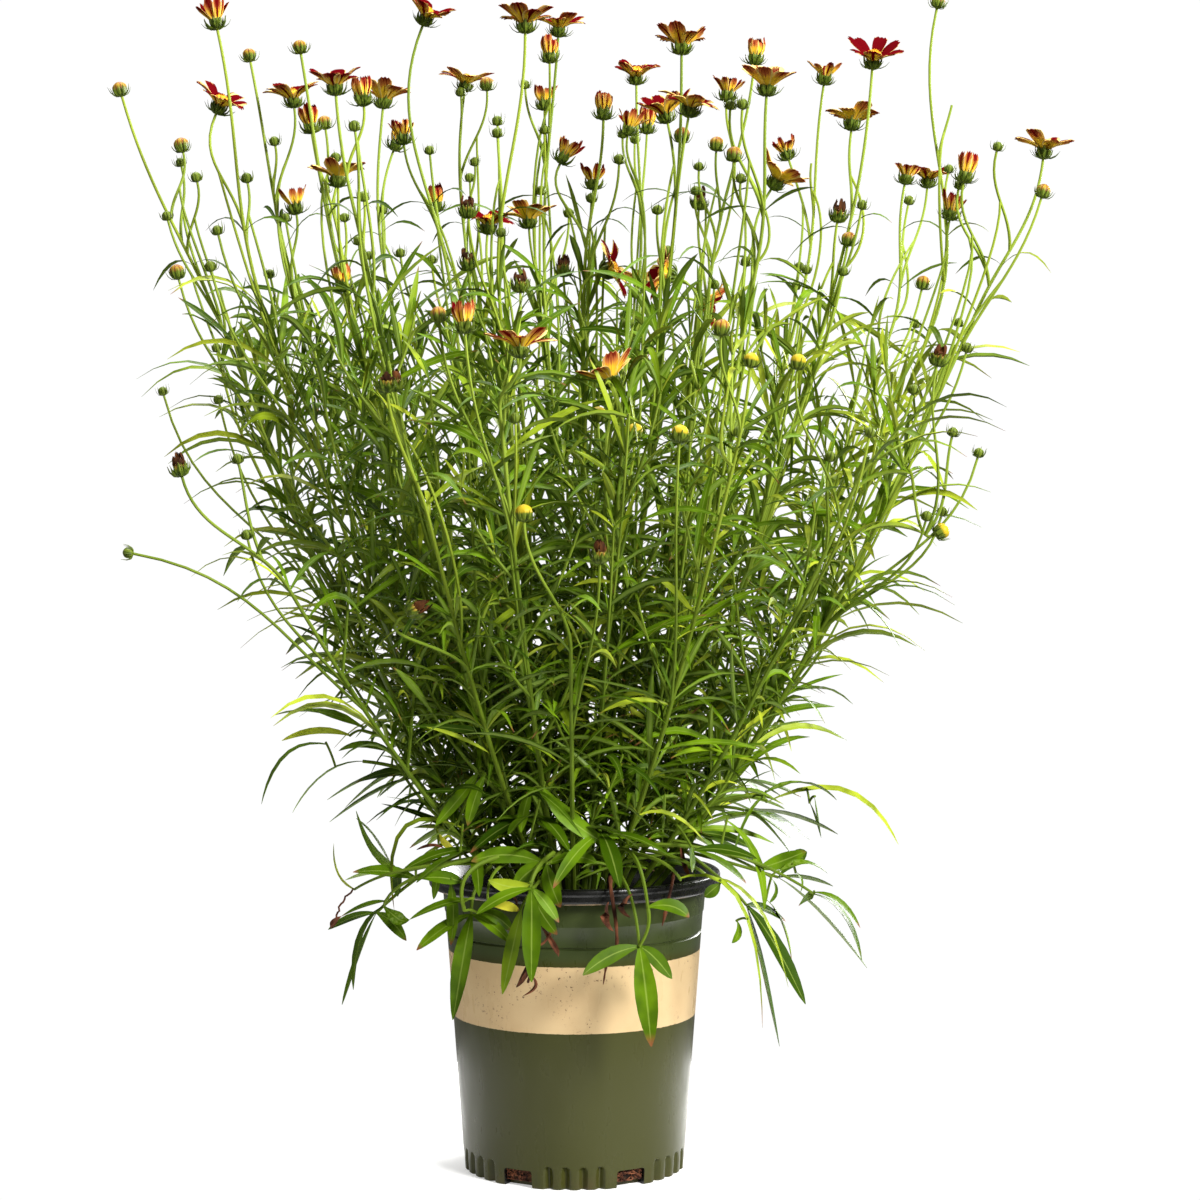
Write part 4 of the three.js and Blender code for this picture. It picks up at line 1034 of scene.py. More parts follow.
def soil_finish(sizes):
    f = Finish("potting_mix")
    colour = f.mix(f.ramp(f.noise(220, 5), 0.35, 0.7), sizes.soil_dark, sizes.soil_light)
    return f.done(colour, 0.92, 0.1, f.noise(500, 5), 0.8, 0.0015)


def wall_finish(sizes):
    """Green plastic with a printed plain band, a little dirt and fine scratches."""
    f = Finish("pot_wall")
    height = f.node("SeparateXYZ", {0: f.place()}).outputs[2]
    green = f.mix(f.ramp(f.noise(9, 2, (1, 1, 0.3)), 0.3, 0.7), sizes.wall, sizes.wall_light)
    shaded = f.ramp(height, sizes.band_high, sizes.band_high + 0.006, (0.0, 0.8))
    green = f.mix(shaded, green, sizes.wall_shade)
    dust = f.ramp(f.noise(300, 6, (1, 1, 1), 0.75), 0.68, 0.78, (0.0, 0.3))
    green = f.mix(dust, green, sizes.band)
    ink = f.mix(f.ramp(f.noise(30, 4), 0.35, 0.75, (0.0, 0.6)), sizes.band, sizes.band_shade)
    specks = f.times(f.ramp(f.noise(520, 4, (1, 1, 1), 0.7), 0.6, 0.66), f.ramp(f.noise(34, 1), 0.5, 0.66))
    ink = f.mix(specks, ink, sizes.soil_light)
    ragged = f.plus(height, f.times(f.minus(f.noise(500, 2), 0.5), 0.0006))
    inside = f.times(f.maths("GREATER_THAN", ragged, sizes.band_low),
                     f.maths("LESS_THAN", ragged, sizes.band_high))
    grime = f.ramp(f.noise(60, 5, (1, 1, 2), 0.7), 0.45, 0.8)
    foot = f.times(f.ramp(height, 0.0, 0.012, (1.0, 0.0)), grime)
    colour = f.mix(f.times(foot, 0.35), f.mix(inside, green, ink), sizes.soil_light)
    rough = f.ramp(f.noise(120, 4, (1, 1, 0.3)), 0.3, 0.7, (0.26, 0.36))
    return f.done(colour, rough, 0.19, f.noise(1600, 2), 0.05, 0.0003)


def lip_finish(sizes):
    f = Finish("pot_lip")
    colour = f.mix(f.ramp(f.noise(70, 5, (1, 1, 1), 0.7), 0.6, 0.8, (0.0, 0.3)), sizes.lip, sizes.soil_light)
    height = f.node("SeparateXYZ", {0: f.place()}).outputs[2]
    edge = f.times(f.ramp(height, 0.1634, 0.164), f.ramp(height, 0.1644, 0.1652, (1.0, 0.0)))
    edge = f.times(edge, f.ramp(f.noise(90, 4), 0.4, 0.6))
    colour = f.mix(f.times(edge, 0.6), colour, sizes.band_shade)
    return f.done(colour, f.ramp(f.noise(180, 3), 0.3, 0.7, (0.2, 0.34)), 0.3,
                  f.noise(1200, 2), 0.08, 0.0003)


# ---- sizes and colours that a user would change

def length(name, description, default):
    return bpy.props.FloatProperty(name=name, description=description, default=default, min=0, unit="LENGTH",
                                   precision=4)


def share_of(name, description, default):
    return bpy.props.FloatProperty(name=name, description=description, default=default, min=0, max=2,
                                   subtype="FACTOR")


def colour(name, description, red, green, blue):
    return bpy.props.FloatVectorProperty(name=name, description=description, default=paint(red, green, blue),
                                         size=3, min=0, max=1, subtype="COLOR")


class CoreopsisPot(bpy.types.PropertyGroup):
    band_low: length("Band's lower edge", "Height of the printed band's lower edge", 0.0898)
    band_high: length("Band's upper edge", "Height of the printed band's upper edge", 0.1278)
    wall: colour("Wall", "Olive green of the moulded wall", 45, 46, 14)
    wall_light: colour("Wall, worn", "Green where the wall is worn", 53, 54, 20)
    wall_shade: colour("Wall above the band", "Green of the wall's upper part", 50, 60, 30)
    band: colour("Band", "Colour of the plain printed band", 184, 159, 119)
    band_shade: colour("Band, stained", "Colour of the band where it is stained", 170, 142, 102)
    lip: colour("Lip", "Black of the lip and the inside", 20, 20, 18)
    soil_light: colour("Soil, dry", "Light parts of the potting mix", 82, 58, 42)
    soil_dark: colour("Soil, damp", "Dark parts of the potting mix", 22, 15, 12)
    root_light: colour("Roots", "Light parts of the fine roots", 116, 70, 46)
    root_dark: colour("Roots, shaded", "Dark parts of the fine roots", 40, 18, 12)
    dry_light: colour("Dry stems", "Light parts of the withered stems", 112, 66, 42)
    dry_dark: colour("Dry stems, shaded", "Dark parts of the withered stems", 44, 24, 16)


class CoreopsisFoliage(bpy.types.PropertyGroup):
    node_spacing: length("Node spacing", "Distance between a stem's leaf pairs", 0.0172)
    leaf_size: share_of("Leaf size", "Size of the leaves that only the finished plant has", 1.0)
    shoots: share_of("Side shoots", "How many of the axils bear a leafy shoot", 0.6)
    deep: colour("Old leaf", "Deep green of the old leaves", 38, 62, 1)
    fresh: colour("Leaf", "Green of the grown leaves", 96, 128, 10)
    young: colour("Young leaf", "Yellow-green of the young leaves", 164, 176, 42)
    faded: colour("Faded leaf", "Yellow of a leaf that fades", 214, 208, 60)
    midrib: colour("Midrib", "Pale green of the midrib", 150, 168, 76)
    underside: colour("Underside", "Paler green of the underside", 122, 142, 60)
    dry: colour("Dry tip", "Brown of the dry tips", 118, 74, 44)
    stem: colour("Stem", "Green of the stems", 144, 164, 58)
    stem_shade: colour("Stem, shaded", "Darker green of the stems", 70, 92, 16)


class CoreopsisFlowers(bpy.types.PropertyGroup):
    ray_half_width: length("Ray half width", "Half the width of a flower's ray", 0.0047)
    maroon: colour("Maroon", "The rays' ground colour", 90, 6, 12)
    russet: colour("Russet", "Streaks on the rays' underside", 108, 12, 14)
    bronze: colour("Bronze", "The rays' underside", 196, 110, 58)
    pale: colour("Pale yellow", "The rays' margins", 244, 210, 126)
    yellow: colour("Yellow", "The rays' roots and the disc", 246, 196, 52)
    disc: colour("Disc", "Gold of the disc's florets", 214, 138, 24)
    dry: colour("Bract tip", "Brown of the bracts' tips", 110, 74, 42)
    bract: colour("Bract", "Green of the cups and bracts", 104, 120, 36)
    bract_shade: colour("Bract, shaded", "Darker green of the cups and bracts", 54, 72, 14)
    bud_tan: colour("Bud", "Tan of a ripe bud", 172, 138, 44)
    bud_brown: colour("Bud, brown", "Brown of a ripe bud's top", 118, 44, 26)
    bud_gold: colour("Bud, golden", "Gold of a bud whose disc shows", 190, 164, 34)
    spent: colour("Spent", "Light parts of a spent head", 106, 62, 28)
    spent_dark: colour("Spent, shaded", "Dark parts of a spent head", 42, 22, 8)


class CoreopsisStage(bpy.types.PropertyGroup):
    floor: colour("Floor", "Colour of the floor", 225, 224, 222)
    floor_radius: length("Floor radius", "Radius of the floor, which fades into the backdrop", 0.3)
    glow: share_of("Floor glow", "Strength of the floor's own light under the pot", 0.42)
    surround: share_of("Surrounding light", "Strength of the even light from all round", 0.19)
    key: bpy.props.FloatProperty(name="Main light", description="Power of the main light", default=228,
                                 min=0, unit="POWER")
    eye_distance: length("Camera distance", "Distance of the camera in front of the pot's axis", 1.64)
    eye_height: length("Camera height", "Height of the camera above the floor", 0.4)


def plant():
    if "plant" not in SHARED:
        SHARED["plant"] = Plant()
    return SHARED["plant"]


SHARED = {}


# ---- pot and soil

def wall_radius(z):
    return between(POT_FOOT_RADIUS, RIM_RADIUS - 9, z / (POT_HEIGHT - LIP_DEPTH))


POT_SIDES = 480
GROOVE_HALF_WIDTH = 2.9
GROOVE_DEPTH = 2.4
GROOVE_TOP = 10.2
FLUTE_TOP = 13.2
RIB_SWELL = 0.5
FOOT_THICKENING = 1.2
RAISED_BAND = (150, 0.55)
SLOT_REACH = 24
SLOT_CORNER = 1.6
UNDERSIDE_RADIUS = POT_FOOT_RADIUS - 0.6


def slot_angle(slot):
    return -math.pi / 2 + (slot + 0.5) * 2 * math.pi / DRAIN_SLOTS


def pot_rows():
    """The pot's section as [radius, height], from the outer edge of its underside, up over the lip and
    down to the inside of its floor."""
    inside = [(wall_radius(z) - POT_WALL, z) for z in (160, 150, 120, 90, 60, 30, 16)]
    inside += [(wall_radius(z) - POT_WALL - FOOT_THICKENING, z) for z in (13, 8, 4)]
    foot = [(wall_radius(z), z)
            for z in (0.5, 1.5, 3, 4.5, 6, 7.5, 9, 10, 10.8, 11.5, 12.1, 12.6, FLUTE_TOP, 14.5)]
    wall = [(wall_radius(z), z) for z in (30, 50, 70, 88, 92, 110, 126, 130, STEP_HEIGHT - 0.7)]
    edge, raised = RAISED_BAND
    step = [(wall_radius(STEP_HEIGHT) - 0.9, STEP_HEIGHT),
            (wall_radius(STEP_HEIGHT) - 0.85, STEP_HEIGHT + 0.5),
            (wall_radius(STEP_HEIGHT + 1), STEP_HEIGHT + 1.1), (wall_radius(edge), edge - 0.5),
            (wall_radius(edge) + raised * 0.8, edge + 0.1), (wall_radius(edge) + raised, edge + 0.7),
            (wall_radius(158) + raised, 158), (wall_radius(163.4) + raised, 163.4)]
    lip = [(wall_radius(164) + 1.2, 164), (82.6, 164.1), (83.6, 164.4), (84.3, 165.4), (84.6, 167),
           (84.3, 168.2), (84.35, 169), (84.9, 169.8), (85, 171), (84.6, 172.2), (83.6, 172.9), (82.3, 173),
           (81, 172.6), (79.8, 171.2), (78, 168.6), (76, 165.6)]
    return foot, [*wall, *step], lip, inside


def extrude_rows(rows, last):
    for radius, height in rows:
        bpy.ops.mesh.extrude_region_move(TRANSFORM_OT_translate={"value": (0, 0, (height - last[1]) * MM)})
        scale = radius / last[0]
        bpy.ops.transform.resize(value=(scale, scale, 1), center_override=(0, 0, height * MM))
        last = (radius, height)
    return last


def flute(vertex):
    """Moves a vertex of the foot's outside: grooves with rounded tops between ribs that swell a little."""
    radius, z = math.hypot(vertex.co.x, vertex.co.y) / MM, vertex.co.z / MM
    if z > FLUTE_TOP + 0.2 or radius < wall_radius(z) - 0.8:
        return
    sector, slot = TURN / DRAIN_SLOTS, DRAIN_SLOT_WIDTH / POT_FOOT_RADIUS
    angle = math.atan2(vertex.co.y, vertex.co.x) + math.pi / 2 - sector / 2 - slot / 2
    rib = (sector - slot) / RIBS_PER_SLOT
    place = (angle % sector) / rib
    if place > RIBS_PER_SLOT:
        return
    off = abs(place - min(max(round(place), 1), RIBS_PER_SLOT - 1)) * rib * POT_FOOT_RADIUS
    half = GROOVE_HALF_WIDTH * math.sqrt(max(0.0, 1 - max(0.0, (z - GROOVE_TOP) / GROOVE_HALF_WIDTH) ** 2))
    fade = clamped((FLUTE_TOP - z) / 6)
    swell = fade * RIB_SWELL * math.sin(math.pi * place) ** 2
    sink = GROOVE_DEPTH * (0.5 + 0.5 * math.cos(math.pi * off / half)) ** 0.8 if off < half else 0
    scale = 1 + (swell - sink) / radius
    vertex.co.x *= scale
    vertex.co.y *= scale


class COREOPSIS_OT_pot(bpy.types.Operator):
    """Builds the nursery pot: fluted foot with drain slots, stepped wall and rolled lip"""
    bl_idname = "coreopsis.pot"
    bl_label = "Pot"

    def execute(self, context):
        sizes = context.scene.coreopsis_pot
        foot, wall, lip, inside = pot_rows()
        obj = start_part("nursery_pot", bpy.ops.mesh.primitive_circle_add, vertices=POT_SIDES,
                         radius=UNDERSIDE_RADIUS * MM, fill_type="NOTHING")
        select_all()
        last = extrude_rows([*foot, *wall, *lip, *inside], (UNDERSIDE_RADIUS, 0))
        bpy.ops.mesh.extrude_region_move(TRANSFORM_OT_translate={"value": (0, 0, (POT_FLOOR - last[1]) * MM)})
        bpy.ops.mesh.edge_face_add()
        pick(obj, lambda co: co.z < 1e-6)
        bpy.ops.mesh.edge_face_add()
        select_all()
        bpy.ops.mesh.normals_make_consistent(inside=False)
        leave_editing()
        for vertex in obj.data.vertices:
            flute(vertex)
        for slot in range(DRAIN_SLOTS):
            self.cut_slot(obj, slot)
        wall_top = POT_HEIGHT - LIP_DEPTH
        obj.data.materials.append(wall_finish(sizes))
        obj.data.materials.append(lip_finish(sizes))
        for face in obj.data.polygons:
            z = face.center.z / MM
            inner = face.normal.x * face.center.x + face.normal.y * face.center.y < 0
            face.material_index = 1 if z > wall_top - 0.05 or (inner and z > 0.2) else 0
        finish_piece(obj, 32)
        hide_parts("pot")
        return {"FINISHED"}

    @staticmethod
    def cut_slot(obj, slot):
        """Cuts one drain slot, open at the bottom, with rounded upper corners."""
        cutter = start_part("slot_cutter", bpy.ops.mesh.primitive_cube_add, size=1)
        bpy.ops.transform.resize(value=(SLOT_REACH * MM, DRAIN_SLOT_WIDTH * MM, 2 * DRAIN_SLOT_HEIGHT * MM))
        pick(cutter, lambda co: co.z > 0)
        bpy.ops.mesh.bevel(offset=SLOT_CORNER * MM, segments=3, affect="EDGES")
        select_all()
        bpy.ops.transform.translate(value=((POT_FOOT_RADIUS + 5) * MM, 0, 0))
        leave_editing()
        cutter.rotation_euler = (0, 0, slot_angle(slot))
        bpy.ops.object.transform_apply(location=False, rotation=True, scale=False)
        clear_selection()
        bpy.context.view_layer.objects.active = obj
        cut = obj.modifiers.new("slot", "BOOLEAN")
        cut.operation = "DIFFERENCE"
        cut.object = cutter
        bpy.ops.object.modifier_apply(modifier="slot")
        bpy.data.objects.remove(cutter)


SOIL_SIDES = 120
CHIPS = 420
ROOTS_PER_SLOT = 30


def soil_radius(z):
    return wall_radius(z) - POT_WALL - FIT_GAP - (FOOT_THICKENING if z < 15 else 0)


class COREOPSIS_OT_soil(bpy.types.Operator):
    """Builds the potting mix, the bark chips on it, and the fine roots that show in the drain slots"""
    bl_idname = "coreopsis.soil"
    bl_label = "Soil and roots"

    def execute(self, context):
        sizes = context.scene.coreopsis_pot
        low = POT_FLOOR + FIT_GAP
        obj = start_part("potting_mix", bpy.ops.mesh.primitive_circle_add, vertices=SOIL_SIDES,
                         radius=soil_radius(low) * MM, fill_type="NGON", location=(0, 0, low * MM))
        select_all()
        top = soil_radius(SOIL_TOP)
        rows = [(soil_radius(z), z) for z in (8, 13, 17, 80, SOIL_TOP - 2)]
        last = extrude_rows(rows, (soil_radius(low), low))
        for ring in range(1, 16):
            last = extrude_rows([(top * (1 - ring / 16), SOIL_TOP - 2 + min(ring, 2))], last)
        select_all()
        bpy.ops.mesh.normals_make_consistent(inside=False)
        leave_editing()
        draw = draws_from(SEEDS["soil"])
        for vertex in obj.data.vertices:
            if vertex.co.z > (SOIL_TOP - 1.5) * MM:
                vertex.co.z += between(-1.5, 1.5, draw()) * MM
        obj.data.materials.append(soil_finish(sizes))
        finish_piece(obj, 70)
        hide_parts("soil")
        self.chips(sizes)
        self.roots(sizes)
        return {"FINISHED"}

    @staticmethod
    def chips(sizes):
        draw = draws_from(SEEDS["chips"])
        grains = [grain_pattern("chip", 1, SEEDS["grain"] + n) for n in range(4)]
        gathered = Gathered()
        for n in range(CHIPS):
            reach, angle = (soil_radius(SOIL_TOP) - 3) * math.sqrt(draw()), TURN * draw()
            long = between(2, 6, draw() ** 2)
            spin, tip = TURN * draw(), between(-0.4, 0.4, draw())
            facing = unit(np.array((tip, between(-0.3, 0.3, draw()), 1)))
            matrix = head_matrix(facing, spin) @ np.diag((long, long * 0.5, long * 0.28))
            at = np.array(on_ring(reach, angle, SOIL_TOP + 0.6))
            gathered.add_rigid(grains[n % 4], matrix, at)
        gathered.made("bark_chips", [soil_finish(sizes)], "soil", flat=True)

    @staticmethod
    def roots(sizes):
        """Fine roots that wander over the mix's side behind each drain slot."""
        draw = draws_from(SEEDS["roots"])
        pattern = stalk_pattern("root", 5, 10)
        gathered = Gathered()
        for slot in range(DRAIN_SLOTS):
            middle = slot_angle(slot)
            for _ in range(ROOTS_PER_SLOT):
                across, z = between(-8.5, 8.5, draw()), between(3.6, 9.5, draw())
                heading = TURN * draw()
                points = []
                for _ in range(11):
                    reach = soil_radius(z) + between(0.2, 1.2, draw())
                    angle = middle + across / POT_FOOT_RADIUS
                    points.append(on_ring(reach, angle, z))
                    heading += between(-0.9, 0.9, draw())
                    across = max(-8.6, min(8.6, across + 1.5 * math.cos(heading)))
                    z = max(3.4, min(9.8, z + 1.1 * math.sin(heading)))
                gathered.add_stalk(pattern, np.array(points), between(0.2, 0.45, draw()))
        gathered.made("fine_roots", [root_finish(sizes)], "soil")


# ---- stems and leaves

# Leaves round the pot's front: [across, up] from root to tip, half width, depth and tone.
FRONT_LEAVES = (
    ([(-57, 147), (-46, 145), (-36, 136)], 4.0, -88, 0.3),
    ([(-31, 149), (-36, 128), (-42, 99)], 4.6, -100, 0.7),
    ([(-26, 164), (-36, 162), (-50, 166)], 4.0, -100, 0.85),
    ([(-24, 157), (-19, 146), (-10, 134)], 4.4, -98, 0.5),
    ([(-16, 175), (-38, 181), (-60, 177)], 4.8, -84, 0.5),
    ([(-16, 175), (-27, 171), (-35, 161)], 4.8, -88, 0.45),
    ([(-16, 175), (-14, 164), (-8, 150)], 4.8, -90, 0.4), ([(-16, 175), (0, 180), (13, 176)], 4.2, -84, 0.45),
    ([(-49, 151), (-40, 151), (-32, 148)], 2.6, -94, 1.9),
    ([(-59, 155), (-78, 152), (-96, 143)], 3.5, -92, 0.4),
    ([(-91, 167), (-110, 172), (-129, 171)], 4.2, -60, 0.35),
    ([(-90, 167), (-78, 168), (-65, 165)], 4.2, -92, 0.3),
    ([(-102, 172), (-117, 184), (-127, 207)], 4.6, -50, 0.4),
    ([(-111, 151), (-125, 134), (-129, 102)], 5.0, -64, 0.4),
    ([(-111, 151), (-103, 144), (-96, 143)], 4.0, -66, 0.35),
    ([(-110, 154), (-122, 152), (-136, 145)], 3.6, -64, 0.3),
    ([(-128, 161), (-138, 171), (-140, 188)], 2.3, -50, 1.2),
    ([(-65, 197), (-100, 196), (-105, 149)], 1.9, -60, 0.8),
    ([(-72, 164), (-71, 148), (-72, 128)], 4.6, -86, 0.5),
    ([(-78, 179), (-80, 168), (-82, 155)], 3.0, -60, 0.6),
    ([(-80, 197), (-77, 190), (-70, 184)], 2.9, -50, 1.7),
    ([(-18, 220), (-4, 203), (19, 187)], 4.8, -84, 0.6),
    ([(-55, 230), (-66, 216), (-81, 198)], 4.2, -70, 0.5),
    ([(-52, 228), (-58, 214), (-62, 198)], 3.8, -74, 0.55),
    ([(-25, 219), (-29, 208), (-31, 194)], 3.2, -80, 0.5), ([(43, 150), (57, 151), (67, 144)], 4.5, -95, 0.5),
    ([(61, 167), (97, 153), (110, 79)], 2.3, -78, 0.8), ([(78, 168), (107, 151), (125, 103)], 2.5, -62, 0.85),
    ([(112, 155), (122, 141), (127, 119)], 3.1, -40, 0.7),
    ([(89, 201), (106, 180), (111, 148)], 3.3, -52, 0.65), ([(95, 142), (96, 135), (92, 129)], 2.1, -76, 0.6),
    ([(85, 164), (81, 160), (76, 156)], 4.2, -78, 0.4), ([(107, 173), (120, 177), (135, 183)], 4.4, -34, 0.5),
    ([(119, 171), (134, 177), (148, 170)], 2.7, -36, 0.5),
    ([(115, 167), (118, 160), (114, 153)], 2.7, -38, 0.3),
    ([(140, 158), (158, 146), (168, 119)], 4.7, -30, 0.3),
    ([(140, 159), (155, 154), (167, 138)], 2.7, -34, 0.35),
    ([(140, 158), (136, 156), (131, 151)], 3.5, -32, 0.3),
    ([(129, 171), (133, 166), (132, 159)], 2.0, -30, 0.5),
    ([(112, 212), (158, 219), (189, 187)], 2.3, -20, 0.95),
    ([(137, 212), (141, 203), (144, 191)], 2.6, -24, 0.35),
    ([(112, 218), (134, 224), (153, 213)], 3.1, -26, 0.5),
    ([(110, 215), (100, 202), (92, 178)], 2.8, -40, 0.4),
    ([(-123, 236), (-146, 229), (-164, 206)], 3.2, -30, 0.6),
    ([(-144, 246), (-168, 240), (-182, 211)], 3.6, -26, 0.55),
    ([(-123, 256), (-150, 266), (-174, 263)], 4.2, -24, 0.5),
    ([(-130, 251), (-150, 254), (-170, 248)], 3.0, -30, 1.1),
    ([(-105, 241), (-122, 246), (-137, 242)], 3.2, -36, 0.5),
    ([(140, 215), (142, 204), (144, 191)], 2.4, -30, 0.4),
)
# The stalks that carry them, root to end, with radius and depth at each point.
FRONT_STALKS = (
    ([(-20, 186, -58), (-45, 182, -80), (-101, 171, -52)], 1.0),
    ([(-28, 182, -70), (-60, 172, -94), (-64, 148, -95)], 1.3),
    ([(-12, 182, -74), (-22, 172, -92), (-26, 158, -97)], 1.3),
    ([(-6, 186, -60), (-10, 180, -76), (-16, 175, -86)], 1.2),
    ([(-30, 184, -64), (-88, 170, -82), (-111, 151, -65)], 1.1),
    ([(-60, 176, -74), (-100, 172, -70), (-128, 161, -50)], 1.0),
    ([(-36, 178, -66), (-48, 168, -92), (-50, 151, -94)], 0.9),
    ([(30, 186, -56), (88, 182, -60), (140, 158, -32)], 1.1),
    ([(34, 182, -60), (52, 176, -84), (62, 166, -79)], 1.0),
    ([(40, 184, -54), (62, 178, -74), (78, 168, -63)], 1.0),
    ([(24, 184, -60), (36, 178, -94), (43, 149, -99)], 1.2),
    ([(43, 149, -99), (43, 138, -100), (38, 127, -99)], 1.1),
    ([(50, 190, -40), (80, 184, -46), (115, 168, -38)], 1.0),
    ([(60, 200, -30), (90, 214, -30), (112, 213, -24)], 1.3),
    ([(-60, 210, -30), (-90, 228, -32), (-123, 236, -30)], 1.3),
    ([(-64, 224, -24), (-92, 242, -28), (-123, 254, -26)], 1.3),
    ([(-70, 190, -40), (-88, 180, -56), (-92, 168, -62)], 0.9),
)
# Where the lobed leaves that hang over the lip are seen: knot and tips as [across, up].
HANGING_SEEN = {
    2: ((-60, 146), ((-71, 84), (-92, 125), (-37, 129))),
    3: ((-25, 161), ((-25, 106), (-57, 146), (-9, 141))),
    4: ((38, 127), ((45, 68), (5, 110), (57, 108))),
}
# Tips, as [across, up], of the long leaves that arch out of the plant's sides.
EDGE_TIPS = (
    (-253, 458), (-235, 409), (-235, 469), (-203, 361), (-222, 343), (-207, 325), (-190, 318), (-179, 313),
    (-170, 289), (-162, 284), (-160, 262), (-175, 256), (-233, 506), (-214, 436), (-226, 386), (-240, 436),
    (-196, 392), (-188, 346), (264, 466), (242, 459), (238, 434), (250, 427), (242, 392), (237, 372),
    (229, 383), (213, 338), (226, 316), (220, 331), (204, 300), (204, 335), (180, 282), (228, 412),
)
# Half the width of the leaf mass to the left and to the right of the axis at each height.
LEAF_MASS = ((150, 60, 62), (185, 92, 100), (205, 112, 128), (240, 130, 140), (283, 160, 154),
             (329, 184, 178), (387, 202, 200), (445, 226, 220), (480, 230, 212), (505, 226, 186),
             (522, 196, 130), (536, 110, 60), (550, 20, 20))
MASS_DEPTH = 0.78
ROLL = 1.25
SLENDER_ABOVE = 400
HEAD_LEAVES_BELOW = 485
STEM_LEAVES_BELOW = 505
THIN_ABOVE = 515
THIN = 0.55
UPPER_LEAVES = (320, 150)
# Painted light: leaves are painted yellower, as if lit, past this distance to the right, over this run, by
# this much tone.
PAINTED_LIGHT_RIGHT = (60, 160, 0.45)
# Shortest and longest leaves: at a stalk's joints, on a shoot, and the small ones in the axils of both.
HEAD_LEAVES = (30, 62)
SHOOT_LEAVES = (38, 74)
SMALL_LEAVES = (26, 56)
AXIL_LEAVES = (18, 44)
SHORT_SHOOTS = (36, 96)
LONG_SHOOTS = (110, 210)
# Pairs above the fork: place on the leader, shortest and longest leaf.
UPPER_PAIRS = ((1.1, 34, 64), (1.25, 26, 46))
SAME_KNOT = 12
TOUCHING = 1.5


def in_leaf_mass(point, margin):
    heights = [row[0] for row in LEAF_MASS]
    reach = np.interp(point[2], heights, [row[1 if point[0] < 0 else 2] for row in LEAF_MASS]) + margin
    return (point[0] / reach) ** 2 + (point[1] / (reach * MASS_DEPTH)) ** 2 < 1


class Drawing:
    """Something with its own row of draws."""

    def between(self, low, high):
        return between(low, high, self.draw())

    def about(self, reach):
        return self.between(-reach, reach)


